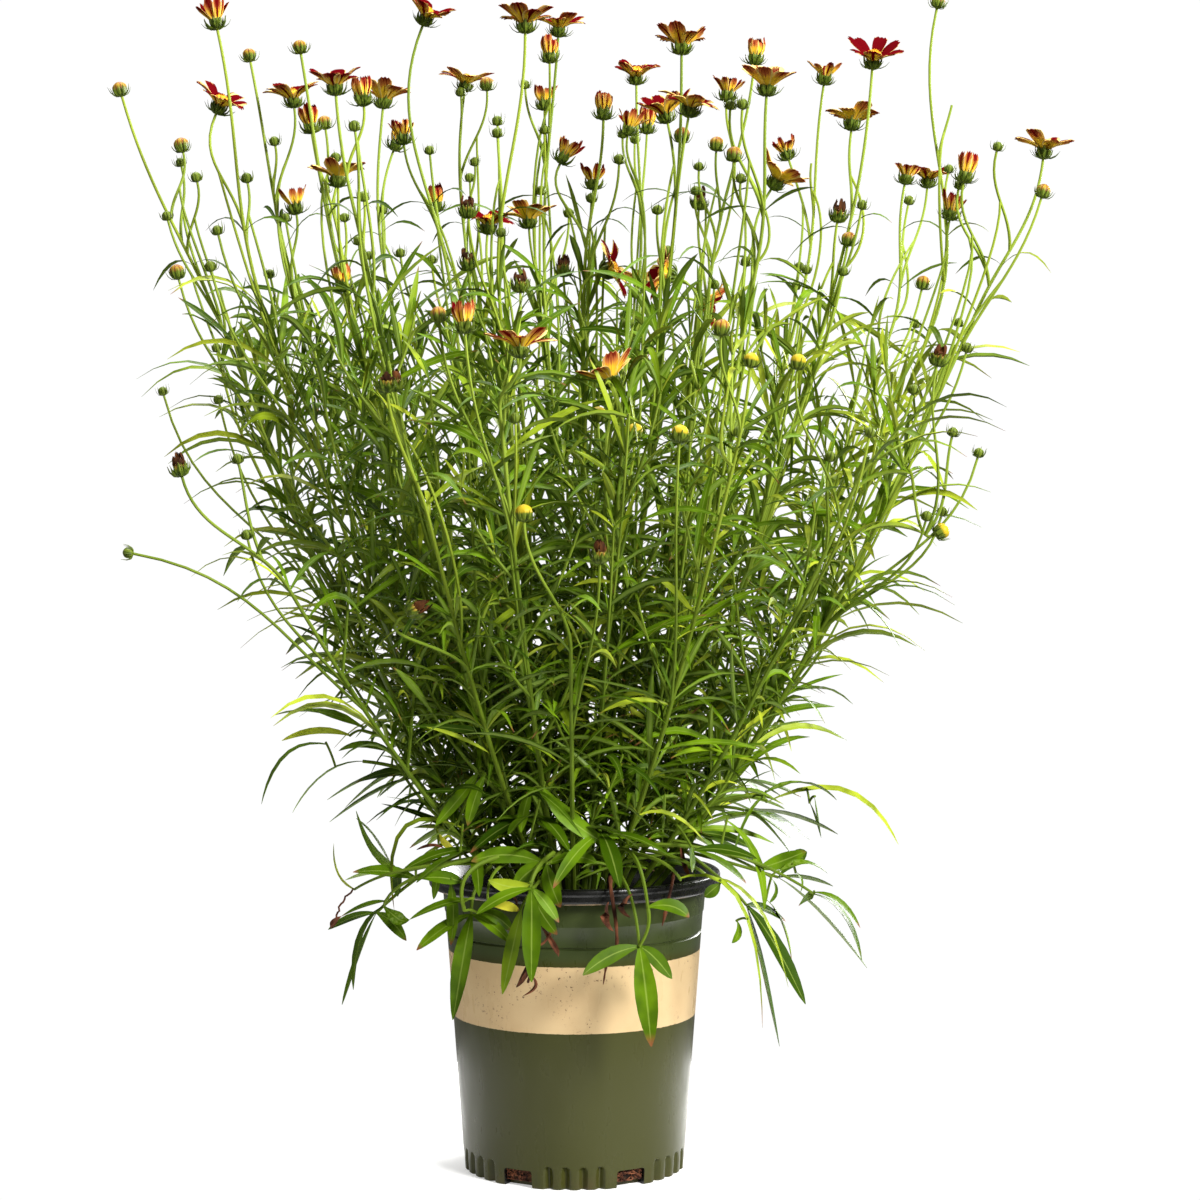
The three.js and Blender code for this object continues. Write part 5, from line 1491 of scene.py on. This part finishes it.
class Foliage(Drawing):
    """A stem's own gathered stalks and leaves."""

    def __init__(self, number, sizes, patterns):
        self.sizes, self.patterns = sizes, patterns
        self.stalks, self.leaves = Gathered(), Gathered()
        self.draw = draws_from(SEEDS["foliage"] + number)
        self.slender_draw = draws_from(SEEDS["slender"] + number)

    def stalk(self, curve, thick, thin, tone):
        """A stalk along a curve's control points."""
        self.stalks.add_stalk(self.patterns["stalk"], bezier(curve, STALK_SHARES),
                              np.linspace(thick, thin, len(STALK_SHARES)), tone)

    def grow(self, stem):
        shares = np.concatenate((np.linspace(0, 1, 21), np.linspace(1, 2, 20)[1:]))
        points = np.array([stem.smooth(share) for share in shares])
        root = np.array((stem.foot[0], stem.foot[1], SOIL_TOP - FOOT_DEPTH))
        radii = np.interp(shares, *LEADER_RADII)
        self.stalks.add_stalk(self.patterns["leader"], np.vstack((root, points)), [radii[0], *radii],
                              self.draw())
        walk = np.array([stem.smooth(share) for share in np.linspace(0.2, 1.4, 49)])
        for head in stem.heads[1:]:
            points = bezier(head.curve, STALK_SHARES)
            if points[0][2] > SLENDER_ABOVE:
                self.slender(walk, points)
            self.stalk(head.curve, 0.98, 0.78, self.draw())
            for k in (0, 3, 6):
                if points[k][2] < HEAD_LEAVES_BELOW:
                    along = unit(points[k + 1] - points[k])
                    self.pair(points[k], along, self.draw() * 3, HEAD_LEAVES, 0.6, 2)
        for leaf in stem.leaves:
            self.narrow(leaf, self.between(0, 0.6), 0.5, THIN if leaf.root[2] > THIN_ABOVE else 1)
        for leaf in stem.lobed:
            self.lobed(leaf)
        self.clothe(stem)

    def slender(self, walk, points):
        """A thin stalk that rises beside the stem from lower down and runs into a head's stalk."""
        draw = self.slender_draw
        near = int(np.argmin(norm(walk - points[0], axis=1)))
        low = walk[max(0, near - int(between(10, 24, draw())))]
        bow = np.array((between(-13, 13, draw()), between(-13, 5, draw()), 0))
        course = (low, between(low, points[0], 0.35) + bow, points[0] + bow * 0.9, points[6])
        self.stalk(course, 0.95, 0.75, draw())

    def narrow(self, leaf, tone, roll=ROLL, width=1):
        points = leaf.along(stations_of(NARROW_BLADE))
        sway = self.about(0.1) * leaf.length
        across = np.cross(UP, leaf.out)
        points = points + across * (sway * np.linspace(0, 1, len(points)) ** 2)[:, None]
        # Painted light: a leaf whose tip lies far to the right is painted yellower, as if lit from that side.
        start, run, painted_light_gain = PAINTED_LIGHT_RIGHT
        tone += painted_light_gain * max(0, points[-1][0] - start) / run
        self.leaves.add_blade(self.patterns["narrow"], points, leaf.half * width, min(1.1, tone),
                              self.about(0.9), roll=self.about(roll))

    def lobed(self, leaf):
        knot, tips, wide = leaf.knot, [tip for tip, _, _ in leaf.lobes], 1.3
        for n, (seen, seen_tips) in HANGING_SEEN.items():
            if norm(knot - HANGING_LEAVES[n][0]) < SAME_KNOT:
                knot, wide = placed(*seen, knot[1]), 1.12
                tips = [placed(*place, tip[1]) for place, tip in zip(seen_tips, tips)]
        middle = leaf.shoulder * 2 - (leaf.root + knot) / 2
        self.stalk((leaf.root, middle, knot), 1.2, 0.9, 0.6)
        tone = self.between(0.15, 0.5)
        for tip, (_, half, _) in zip(tips, leaf.lobes):
            control = (knot + tip) / 2 + UP * norm(knot - tip) * 0.18
            self.blade((knot, control, tip), half * wide, tone + self.about(0.15))

    def blade(self, curve, half, tone):
        points = bezier(curve, stations_of(BROAD_BLADE))
        out = unit(np.array((curve[1][0], curve[1][1], 60.0)))
        self.leaves.add_blade(self.patterns["broad"], points, half, tone, self.about(0.35), up=out,
                              roll=self.about(0.35))

    def front(self):
        """The broad leaves round the pot's front, their stalks, and a petiole to each loose leaf."""
        walk = np.empty((0, 3))
        for places, radius in FRONT_STALKS:
            curve = through(places)
            self.stalk(curve, radius * 1.15, radius * 0.8, 0.6)
            walk = np.vstack((walk, bezier(curve, np.linspace(0.1, 1, 37))))
        for places, half, depth, tone in FRONT_LEAVES:
            curve = through([(across, up, depth) for across, up in places])
            self.blade(curve, half, tone)
            root = curve[0]
            near = walk[np.argmin(norm(walk - root, axis=1))]
            if norm(near - root) > TOUCHING:
                petiole = (near, between(near, root, 0.5) + UP * 2, between(near, root, 1.1))
                self.stalk(petiole, 0.75, 0.75, 0.6)
            walk = np.vstack((walk, bezier(curve, np.linspace(0, 0.8, 25))))

    def edges(self, stems):
        """Long leaves that arch out of the sides, from the nearest stem, on a shoot where that is far."""
        walk = np.vstack([[stem.smooth(share) for share in np.linspace(0.2, 1.5, 40)] for stem in stems])
        spread = (EYE_DISTANCE + walk[:, 1]) / EYE_DISTANCE
        seen = np.column_stack((walk[:, 0] / spread, EYE_HEIGHT + (walk[:, 2] - EYE_HEIGHT) / spread))
        for across, up in EDGE_TIPS:
            inward = -math.copysign(1, across)
            root = walk[np.argmin(norm(seen - (across + inward * 64, up - 8), axis=1))]
            tip = placed(across, up, root[1] + self.between(-30, 20))
            far = norm(tip - root)
            knee = root
            if far > 84:
                knee = between(root, tip, 1 - 68 / far) + UP * 9
                self.stalk((root, between(root, knee, 0.5) + UP * 8, knee), 1.1, 0.8, 0.5)
            for n in range(2):
                end = tip + np.array([self.about(16) * min(n, 1) for _ in range(3)]) * (1, 2, 1)
                end -= (tip - knee) * (0.14 * n)
                control = (knee + end) / 2 + UP * norm(end - knee) * self.between(0.3, 0.55)
                points = bezier((knee, control, end), stations_of(NARROW_BLADE))
                self.leaves.add_blade(self.patterns["narrow"], points, self.between(1.4, 2.1),
                                      self.between(0.6, 1.05), self.about(0.8), roll=self.about(0.9))

    def pair(self, at, along, spin, lengths, tone, margin=10):
        """Two opposite leaves at a node."""
        _, side, other = frames_along([at - along, at + along])
        for wing in (0, math.pi):
            out = round_about(side[1], other[1], spin + wing + self.about(0.4))
            out[2] = 0
            size = self.between(*lengths) * self.sizes.leaf_size
            half = self.between(1.35, 2.35) * min(1, 0.3 + size / 75)
            high = clamped((at[2] - UPPER_LEAVES[0]) / UPPER_LEAVES[1])
            leaf = NarrowLeaf(at, unit(out), size, math.radians(self.between(15 + 20 * high, 74 + 9 * high)),
                              self.between(0.12, 0.85 - 0.25 * high), half)
            if in_leaf_mass(leaf.along((1,))[0], self.between(-10, margin)):
                self.narrow(leaf, clamped(tone + self.about(0.35)))

    def clothe(self, stem):
        """Leaf pairs at every node up to the fork, with shoots or small leaves in the axils."""
        path = np.array([stem.smooth(share) for share in np.linspace(0, 1, 21)])
        run = norm(np.diff(path, axis=0), axis=1).sum() * MM
        nodes = max(4, int(run / self.sizes.node_spacing))
        for n in range(1, nodes + 1):
            share = 0.1 + 0.9 * n / nodes
            at = stem.smooth(share)
            along = unit(stem.smooth(share) - stem.smooth(share - 0.02))
            lengths = (between(62, 44, share), between(90, 72, share))
            # Painted shade: the pairs' tone runs from about 0.2 low on the stem to 0.5 at its fork, so the
            # lower leaves deep in the mass are painted darker green.
            self.pair(at, along, n * math.pi / 2, lengths, between(0.2, 0.5, share), 24)
            spin = n * math.pi / 2 + self.about(0.6)
            if n % 4 == 2 and share < 0.8:
                self.shoot(at, along, spin, self.between(*LONG_SHOOTS), 0.3)
            elif self.draw() < self.sizes.shoots:
                self.shoot(at, along, spin, self.between(*SHORT_SHOOTS) * (1.1 - 0.25 * share), 0.62)
            else:
                self.pair(at, along, spin + 0.8, SMALL_LEAVES, 0.6)
        for share, low, high in UPPER_PAIRS:
            at = stem.smooth(share)
            if at[2] < STEM_LEAVES_BELOW:
                self.pair(at, unit(at - stem.smooth(share - 0.05)), self.draw() * 3, (low, high), 0.5, 6)

    def shoot(self, at, along, spin, size, lean):
        """A side shoot that turns upward, with leaf pairs up to its tip."""
        _, side, other = frames_along([at - along, at + along])
        out = round_about(side[1], other[1], spin)
        out[2] = max(out[2], 0)
        heading = unit(out * lean + along * 0.75)
        curve = (at, at + heading * size * 0.5, at + heading * size * 0.78 + UP * size * 0.3)
        if not in_leaf_mass(curve[2], -14):
            return
        points = bezier(curve, STALK_SHARES)
        self.stalk(curve, 1.15, 0.7, 0.5)
        pairs = 2 + int(size / 34)
        for n in range(1, pairs + 1):
            k = int(12 * n / pairs)
            heading = unit(points[k] - points[k - 1])
            self.pair(points[k], heading, spin + n * math.pi / 2, SHOOT_LEAVES, 0.5)
            if self.draw() < 0.6:
                self.pair(points[k], heading, spin + n * math.pi / 2 + 0.9, AXIL_LEAVES, 0.75)


class COREOPSIS_OT_foliage(bpy.types.Operator):
    """Builds each stem with its stalks, and its narrow and lobed leaves"""
    bl_idname = "coreopsis.foliage"
    bl_label = "Stems and leaves"

    def execute(self, context):
        sizes = context.scene.coreopsis_foliage
        patterns = {
            "leader": stalk_pattern("leader", 8, 40),
            "stalk": stalk_pattern("stalk", 6, 12),
            "narrow": blade_pattern("narrow", NARROW_BLADE, 0.34, 0.13),
            "broad": blade_pattern("broad", BROAD_BLADE, 0.26, 0.07),
        }
        stem_green, leaf_green = stem_finish(sizes), leaf_finish(sizes)
        for stem in plant().stems:
            foliage = Foliage(stem.number, sizes, patterns)
            foliage.grow(stem)
            number = f"{stem.number + 1:02d}"
            stalks = foliage.stalks.made(f"stem_{number}", [stem_green], "leaf")
            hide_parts(f"leafy_stem_{number}")
            foliage.leaves.made(f"leaves_{number}", [leaf_green], "leaf")
        foliage = Foliage(99, sizes, patterns)
        foliage.front()
        foliage.edges(plant().stems)
        foliage.stalks.made("outer_stalks", [stem_green], "leaf")
        foliage.leaves.made("outer_leaves", [leaf_green], "leaf")
        return {"FINISHED"}


# ---- heads

BUD_ROWS = {
    "green": ((0, 0), (0.2, 1.2), (1.2, 2.7), (2.7, 3.2), (4.3, 2.9), (5.6, 1.6), (6, 0)),
    "ripe": ((0, 0), (0.3, 1.5), (1.5, 3.5), (4.2, 4.5), (6.6, 4.1), (8.4, 2.5), (9, 0)),
    "half": ((0, 0), (0.3, 1.3), (1.4, 2.9), (3.4, 3.7), (5.6, 3.8), (6.4, 3.4), (6, 0)),
    "spent": ((0, 0), (0.3, 1.3), (1.8, 3), (4.4, 3.5), (6.4, 3.1), (7.4, 2.2), (7.2, 0)),
    "bloom": ((0, 0), (0.3, 1.3), (1.4, 2.9), (3.2, 3.8), (5.2, 4.2), (6, 4), (5.8, 0)),
}
# Of each kind's outer bracts: how many, half width, and the curve that they follow outward and up.
OUTER_BRACTS = {
    "green": (6, 0.6, ((1.6, 0.6), (4.6, 1.0), (4.4, 6.2))),
    "ripe": (8, 0.75, ((2, 0.7), (5.4, 0.9), (6.6, 6))),
    "half": (8, 0.75, ((2, 0.7), (6.4, 0.2), (8.6, 4.4))),
    "spent": (8, 0.7, ((1.8, 0.7), (5, 1.2), (6.2, 7.2))),
    "bloom": (8, 0.8, ((2, 0.7), (6, 0.4), (8.6, 4.6))),
}
INNER_BRACT = ((1.2, 0.3), (4.9, 1.4), (5.6, 6.6))
OPEN_RAY = ((2.6, 5.6), (3.8, 7), (6.4, 8.9), (9.4, 10.3), (12.8, 11.4), (15.2, 11.9), (17.4, 12.1))
CLOSED_RAY = ((2.8, 4.8), (3.6, 7), (4.1, 9.5), (4.1, 12), (3.6, 14), (2.8, 15.2), (1.9, 16))
GOLDEN_BELOW = 476
FLORETS = 44
GOLDEN_ANGLE = 2.39996
DISC_ROWS = ((6.6, 0), (6.7, 3), (7.4, 4.6), (9, 4.4), (10.3, 2.6), (10.7, 0))
SHRUNK_RAY = ((2.4, 5), (3, 6.4), (3.4, 7.6), (3.2, 8.8), (2.8, 9.8), (2.4, 10.4), (2, 11))


def blend_rows(a, b, share):
    return tuple((between(p[0], q[0], share), between(p[1], q[1], share)) for p, q in zip(a, b))


def bend_ray(pattern, course, angle, half, lift=0.0, curl=0.0):
    """A ray laid along its course of [reach, rise] in its head's own directions."""
    x, y, z = pattern.places.T
    rows = np.array(course, float)
    steps = np.concatenate(([0], np.cumsum(norm(np.diff(rows, axis=0), axis=1))))
    steps /= steps[-1]
    reach, rise = np.interp(x, steps, rows[:, 0]), np.interp(x, steps, rows[:, 1])
    ahead = np.column_stack([np.interp(x + 0.08, steps, row) - np.interp(x - 0.08, steps, row)
                             for row in rows.T])
    ahead /= norm(ahead, axis=1)[:, None]
    over = np.maximum(0, x - 1) * steps[-1] * 17
    rise = rise + lift * x ** 2 * 5 + curl * (y ** 2) * 2
    reach = reach - ahead[:, 1] * z * half + over
    rise = rise + ahead[:, 0] * z * half
    c, s = math.cos(angle), math.sin(angle)
    return np.column_stack((reach * c - y * half * s, reach * s + y * half * c, rise))


class Heads(Drawing):
    """Builds the heads of the stems, and the flowers that stand on them."""

    def __init__(self, sizes):
        self.sizes = sizes
        self.buds = {kind: ball_pattern(kind, 16, 9, rows) for kind, rows in BUD_ROWS.items()}
        self.disc = ball_pattern("disc", 14, 6, DISC_ROWS)
        self.floret = grain_pattern("floret", 1, SEEDS["floret"])
        self.ray, self.small_ray = ray_pattern(6, 6), ray_pattern(4, 6)
        self.bract = blade_pattern("bract", BRACT_BLADE, 0.3, 0.3)
        self.draw = draws_from(SEEDS["heads"])

    def rays(self, gathered, head, matrix, course, half, spread, finish=0):
        slope = self.about(0.5) * spread
        for n in range(RAY_COUNT):
            angle = TURN * n / RAY_COUNT + self.about(0.14)
            tilt = slope + self.about(0.8) * spread
            ray = self.ray if finish == 0 else self.small_ray
            places = bend_ray(ray, course(), angle, half * self.between(0.8, 1.12), tilt,
                              self.between(-0.9, 0.5))
            gathered.add(ray, places @ matrix.T + head.at,
                         clamped(head.tone + self.about(0.3)), finish)

    def bracts(self, gathered, head, matrix):
        count, half, curve = OUTER_BRACTS[head.kind]
        rows = [(curve, half, 0.5)] * count
        if head.kind in ("bloom", "half", "spent"):
            rows += [(INNER_BRACT, 1.9, 0.0)] * RAY_COUNT
        for n, (curve, half, offset) in enumerate(rows):
            angle = TURN * (n + offset) / count + self.about(0.15)
            out = matrix @ np.array((math.cos(angle), math.sin(angle), 0))
            stretch = self.between(0.85, 1.15)
            points = [head.at + out * reach * stretch + head.facing * rise * self.between(0.8, 1.25)
                      for reach, rise in curve]
            points = bezier(points, stations_of(BRACT_BLADE))
            gathered.add_blade(self.bract, points, half, 0.0, up=unit(head.facing - out * 0.5))

    def head(self, gathered, head):
        """The calyx with its outer bracts, and what a head that isn't a flower has on it."""
        if head.kind == "cut":
            return
        matrix = head_matrix(head.facing, self.draw() * 0.7)
        size = self.between(0.92, 1.05)
        kind = head.kind
        if kind in ("half", "ripe") and head.up < GOLDEN_BELOW:
            kind, ripe = "ripe", 2.0
        else:
            ripe = {"ripe": 1.0, "spent": 0.6}.get(kind, 0.0)
        gathered.add_rigid(self.buds[kind], matrix * size, head.at, ripe, 1)
        self.bracts(gathered, head, matrix)
        if kind == "half":
            head.tone = self.between(0, 0.5)
            opened = self.between(0.1, 0.66) ** 1.4
            self.rays(gathered, head, matrix,
                      lambda: blend_rows(CLOSED_RAY, OPEN_RAY, opened * self.between(0.4, 1.3)), 2.5, 0.5, 2)
        if head.kind == "spent":
            head.tone = 0.3
            self.rays(gathered, head, matrix,
                      lambda: blend_rows(SHRUNK_RAY, CLOSED_RAY, self.about(0.3)), 1.4, 0.5, 3)

    def flower(self, head):
        gathered = Gathered()
        tip = math.radians(self.between(-8, 11) + 14 * max(0.0, 1 - 2 * head.tone))
        facing = unit(head.facing * math.cos(tip) - np.array((0, math.sin(tip), 0)))
        matrix = head_matrix(facing, self.between(0, 0.7))
        folded = self.between(-0.04, 0.12) + 0.1 * max(0.0, 1 - 2 * head.tone)
        self.rays(gathered, head, matrix,
                  lambda: blend_rows(OPEN_RAY, CLOSED_RAY, folded + self.between(-0.08, 0.16)),
                  self.sizes.ray_half_width / MM, 0.9)
        gathered.add_rigid(self.disc, matrix, head.at, 0.0, 1)
        for n in range(FLORETS):
            reach, angle = 4.3 * math.sqrt((n + 0.5) / FLORETS), n * GOLDEN_ANGLE
            rise = 10.5 - 2.6 * (reach / 4.4) ** 2
            at = head.at + matrix @ np.array(on_ring(reach, angle, rise))
            gathered.add_rigid(self.floret, matrix @ np.diag((0.5, 0.5, 1.1)), at, self.draw(), 1)
        return gathered


class COREOPSIS_OT_heads(bpy.types.Operator):
    """Builds the buds, cups and flowers on their stalks"""
    bl_idname = "coreopsis.heads"
    bl_label = "Buds and flowers"

    def execute(self, context):
        sizes = context.scene.coreopsis_flowers
        heads = Heads(sizes)
        bract, bud, ray, disc = (make(sizes) for make in (bract_finish, bud_finish, ray_finish, disc_finish))
        dry = dry_finish("spent_rays", sizes.spent_dark, sizes.spent)
        for stem in plant().stems:
            gathered = Gathered()
            for head in stem.heads:
                heads.head(gathered, head)
            gathered.made(f"buds_{stem.number + 1:02d}", [bract, bud, ray, dry], "leaf")
        for n, head in enumerate(plant().flowers):
            number = f"{n + 1:02d}"
            flower = heads.flower(head).made(f"flower_{number}", [ray, disc], "bloom", 50)
            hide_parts(f"bloom_{number}")
        return {"FINISHED"}


# ---- withered stems

# Dry leaves and stalks: [across, up, depth] from end to end, and half width or, up to 1, radius.
DRY_SCRAPS = (
    ([(34, 158, -94), (28, 152, -95), (33, 144, -94)], 3.4),
    ([(20, 153, -90), (18, 144, -92), (23, 136, -91)], 2.8),
    ([(-21, 148, -90), (-14, 138, -93), (-20, 128, -94)], 0.7),
    ([(-20, 140, -92), (-12, 128, -95), (-9, 121, -95)], 1.6),
    ([(-21, 128, -93), (-28, 112, -95), (-34, 103, -94)], 2.0),
    ([(-27, 112, -94), (-22, 104, -95), (-30, 98, -94)], 1.8),
    ([(-20, 132, -93), (-24, 118, -96), (-27, 106, -95)], 0.8),
    ([(-129, 161, -50), (-136, 152, -52), (-139, 142, -50)], 0.6),
    ([(-136, 145, -64), (-140, 142, -66), (-142, 138, -64)], 1.8),
    ([(-76, 185, -60), (-84, 187, -62), (-92, 184, -60)], 1.6),
    ([(-40, 165, -88), (-36, 158, -92), (-33, 150, -93)], 0.7),
    ([(62, 190, -40), (64, 176, -60), (68, 168, -72)], 1.7),
)


class COREOPSIS_OT_withered(bpy.types.Operator):
    """Builds the dry brown stems that droop over the lip"""
    bl_idname = "coreopsis.withered"
    bl_label = "Withered stems"

    def execute(self, context):
        sizes = context.scene.coreopsis_pot
        finish = dry_finish("dry_brown", sizes.dry_dark, sizes.dry_light)
        pattern = stalk_pattern("withered", 7, 32)
        draw = draws_from(SEEDS["withered"])
        for n, places in enumerate(WITHERED_STEMS):
            places = np.array(places, float)
            shares = np.linspace(0, len(places) - 1, 33)
            points = np.column_stack([np.interp(shares, np.arange(len(places)), row) for row in places.T])
            for _ in range(2):
                points[1:-1] = (points[:-2] + 2 * points[1:-1] + points[2:]) / 4
            radii = np.array([WITHERED_RADIUS * between(0.6, 1.15, draw()) for _ in shares])
            radii[-4:] *= (0.9, 0.7, 0.5, 0.25)
            gathered = Gathered()
            gathered.add_stalk(pattern, points, radii)
            piece = gathered.made(f"dry_stem_{n + 1}", [finish], "withered", 50)
            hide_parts(f"withered_stem_{n + 1}")
        gathered = Gathered()
        blade, stalk = blade_pattern("scrap", BROAD_BLADE, 0.7, 0.12), stalk_pattern("scrap_stalk", 5, 12)
        for places, half in DRY_SCRAPS:
            curve = through(places)
            if half > 1:
                points = bezier(curve, stations_of(BROAD_BLADE))
                gathered.add_blade(blade, points, half, 0.0, between(-2.2, 2.2, draw()), roll=draw() * 3)
            else:
                points = bezier(curve, STALK_SHARES)
                points[1:-1] += np.array([[between(-0.7, 0.7, draw()) for _ in range(3)] for _ in range(11)])
                gathered.add_stalk(stalk, points, half)
        gathered.made("dry_scraps", [finish], "withered", 50)
        return {"FINISHED"}


# ---- stage

AIM = (0.015, 0.0, 0.33)
VIEW_WIDTH = 0.6967
SENSOR = 36
BACKDROP = 1.02
# Each lamp's place, size and share of the main light's power.
LAMPS = {
    "key": ((1.95, -2.05, 1.9), 1.2, 1),
    "side": ((1.3, 1.7, 0.9), 1.1, 0.32),
    "fill": ((-2.4, -1.2, 1.0), 1.6, 0.05),
    "overhead": ((-0.2, 0.6, 2.4), 1.4, 0.34),
}
LAMP_AIM = (0, 0, 0.35)


def aim(obj, place, target):
    """Sets a camera or lamp at a place, level and facing the target, and tells how far it is."""
    obj.location = place
    toward = np.array(target) - np.array(place)
    flat = math.hypot(toward[0], toward[1])
    obj.rotation_euler = (math.pi / 2 + math.atan2(toward[2], flat), 0, -math.atan2(toward[0], toward[1]))
    bpy.context.scene.collection.objects.link(obj)
    return float(norm(toward))


class COREOPSIS_OT_stage(bpy.types.Operator):
    """Sets the pale floor, soft lights and the camera"""
    bl_idname = "coreopsis.stage"
    bl_label = "Stage"

    def execute(self, context):
        sizes = context.scene.coreopsis_stage
        clear_selection()
        floor = start_part("floor", bpy.ops.mesh.primitive_circle_add, vertices=128,
                           radius=sizes.floor_radius, fill_type="NGON")
        leave_editing()
        finish = Finish("floor")
        place = finish.node("SeparateXYZ", {0: finish.place()}).outputs
        reach = finish.maths("SQRT", finish.maths("ADD", finish.maths("POWER", place[0], 2.0),
                                                  finish.maths("POWER", place[1], 2.0)))
        finish.set(Base_Color=sizes.floor[:], Roughness=0.6, Specular_IOR_Level=0.2,
                   Emission_Color=(1, 1, 1),
                   Emission_Strength=finish.ramp(reach, 0.08, sizes.floor_radius * 0.8, (sizes.glow, 1.0)))
        floor.data.materials.append(finish.material)
        self.surround(context, sizes)
        for name, (place, size, share) in LAMPS.items():
            lamp = bpy.data.lights.new(name, "AREA")
            lamp.shape = "DISK"
            lamp.size = size
            lamp.energy = sizes.key * share
            aim(bpy.data.objects.new(name, lamp), place, LAMP_AIM)
        camera = bpy.data.cameras.new("camera")
        eye = bpy.data.objects.new("camera", camera)
        far = aim(eye, (0, -sizes.eye_distance, sizes.eye_height), AIM)
        camera.sensor_width = SENSOR
        camera.lens = SENSOR * far / VIEW_WIDTH
        camera.clip_end = 50
        context.scene.camera = eye
        context.scene.view_settings.view_transform = "Standard"
        return {"FINISHED"}

    @staticmethod
    def surround(context, sizes):
        """Even light from all round, and a white backdrop behind it."""
        world = bpy.data.worlds.new("studio")
        context.scene.world = world
        world.use_nodes = True
        nodes, links = world.node_tree.nodes, world.node_tree.links
        light = nodes["Background"]
        light.inputs["Color"].default_value = (1, 1, 1, 1)
        light.inputs["Strength"].default_value = sizes.surround
        backdrop = nodes.new("ShaderNodeBackground")
        backdrop.inputs["Color"].default_value = (1, 1, 1, 1)
        backdrop.inputs["Strength"].default_value = BACKDROP
        seen, mixed = nodes.new("ShaderNodeLightPath"), nodes.new("ShaderNodeMixShader")
        links.new(seen.outputs["Is Camera Ray"], mixed.inputs[0])
        links.new(light.outputs[0], mixed.inputs[1])
        links.new(backdrop.outputs[0], mixed.inputs[2])
        links.new(mixed.outputs[0], nodes["World Output"].inputs["Surface"])


class COREOPSIS_PT_panel(bpy.types.Panel):
    bl_idname = "COREOPSIS_PT_panel"
    bl_label = "Coreopsis"
    bl_space_type = "VIEW_3D"
    bl_region_type = "UI"
    bl_category = "Coreopsis"

    def draw(self, context):
        for group, names in PANEL_ROWS:
            settings = getattr(context.scene, group)
            for key in settings.bl_rna.properties.keys():
                if key not in ("rna_type", "name"):
                    self.layout.prop(settings, key)
            for name in names:
                self.layout.operator(name)


GROUPS = {
    "coreopsis_pot": CoreopsisPot,
    "coreopsis_foliage": CoreopsisFoliage,
    "coreopsis_flowers": CoreopsisFlowers,
    "coreopsis_stage": CoreopsisStage,
}
PANEL_ROWS = (
    ("coreopsis_pot", ("coreopsis.pot", "coreopsis.soil", "coreopsis.withered")),
    ("coreopsis_foliage", ("coreopsis.foliage",)),
    ("coreopsis_flowers", ("coreopsis.heads",)),
    ("coreopsis_stage", ("coreopsis.stage",)),
)
CLASSES = (CoreopsisPot, CoreopsisFoliage, CoreopsisFlowers, CoreopsisStage, COREOPSIS_OT_pot,
           COREOPSIS_OT_soil, COREOPSIS_OT_foliage, COREOPSIS_OT_heads, COREOPSIS_OT_withered,
           COREOPSIS_OT_stage, COREOPSIS_PT_panel)


def register():
    for made in CLASSES:
        bpy.utils.register_class(made)
    for name, group in GROUPS.items():
        setattr(bpy.types.Scene, name, bpy.props.PointerProperty(type=group))


def unregister():
    for name in GROUPS:
        delattr(bpy.types.Scene, name)
    for made in reversed(CLASSES):
        bpy.utils.unregister_class(made)


def main():
    register()
    bpy.ops.coreopsis.stage()
    bpy.ops.coreopsis.pot()
    bpy.ops.coreopsis.soil()
    bpy.ops.coreopsis.foliage()
    bpy.ops.coreopsis.heads()
    bpy.ops.coreopsis.withered()


if __name__ == "__main__":
    main()
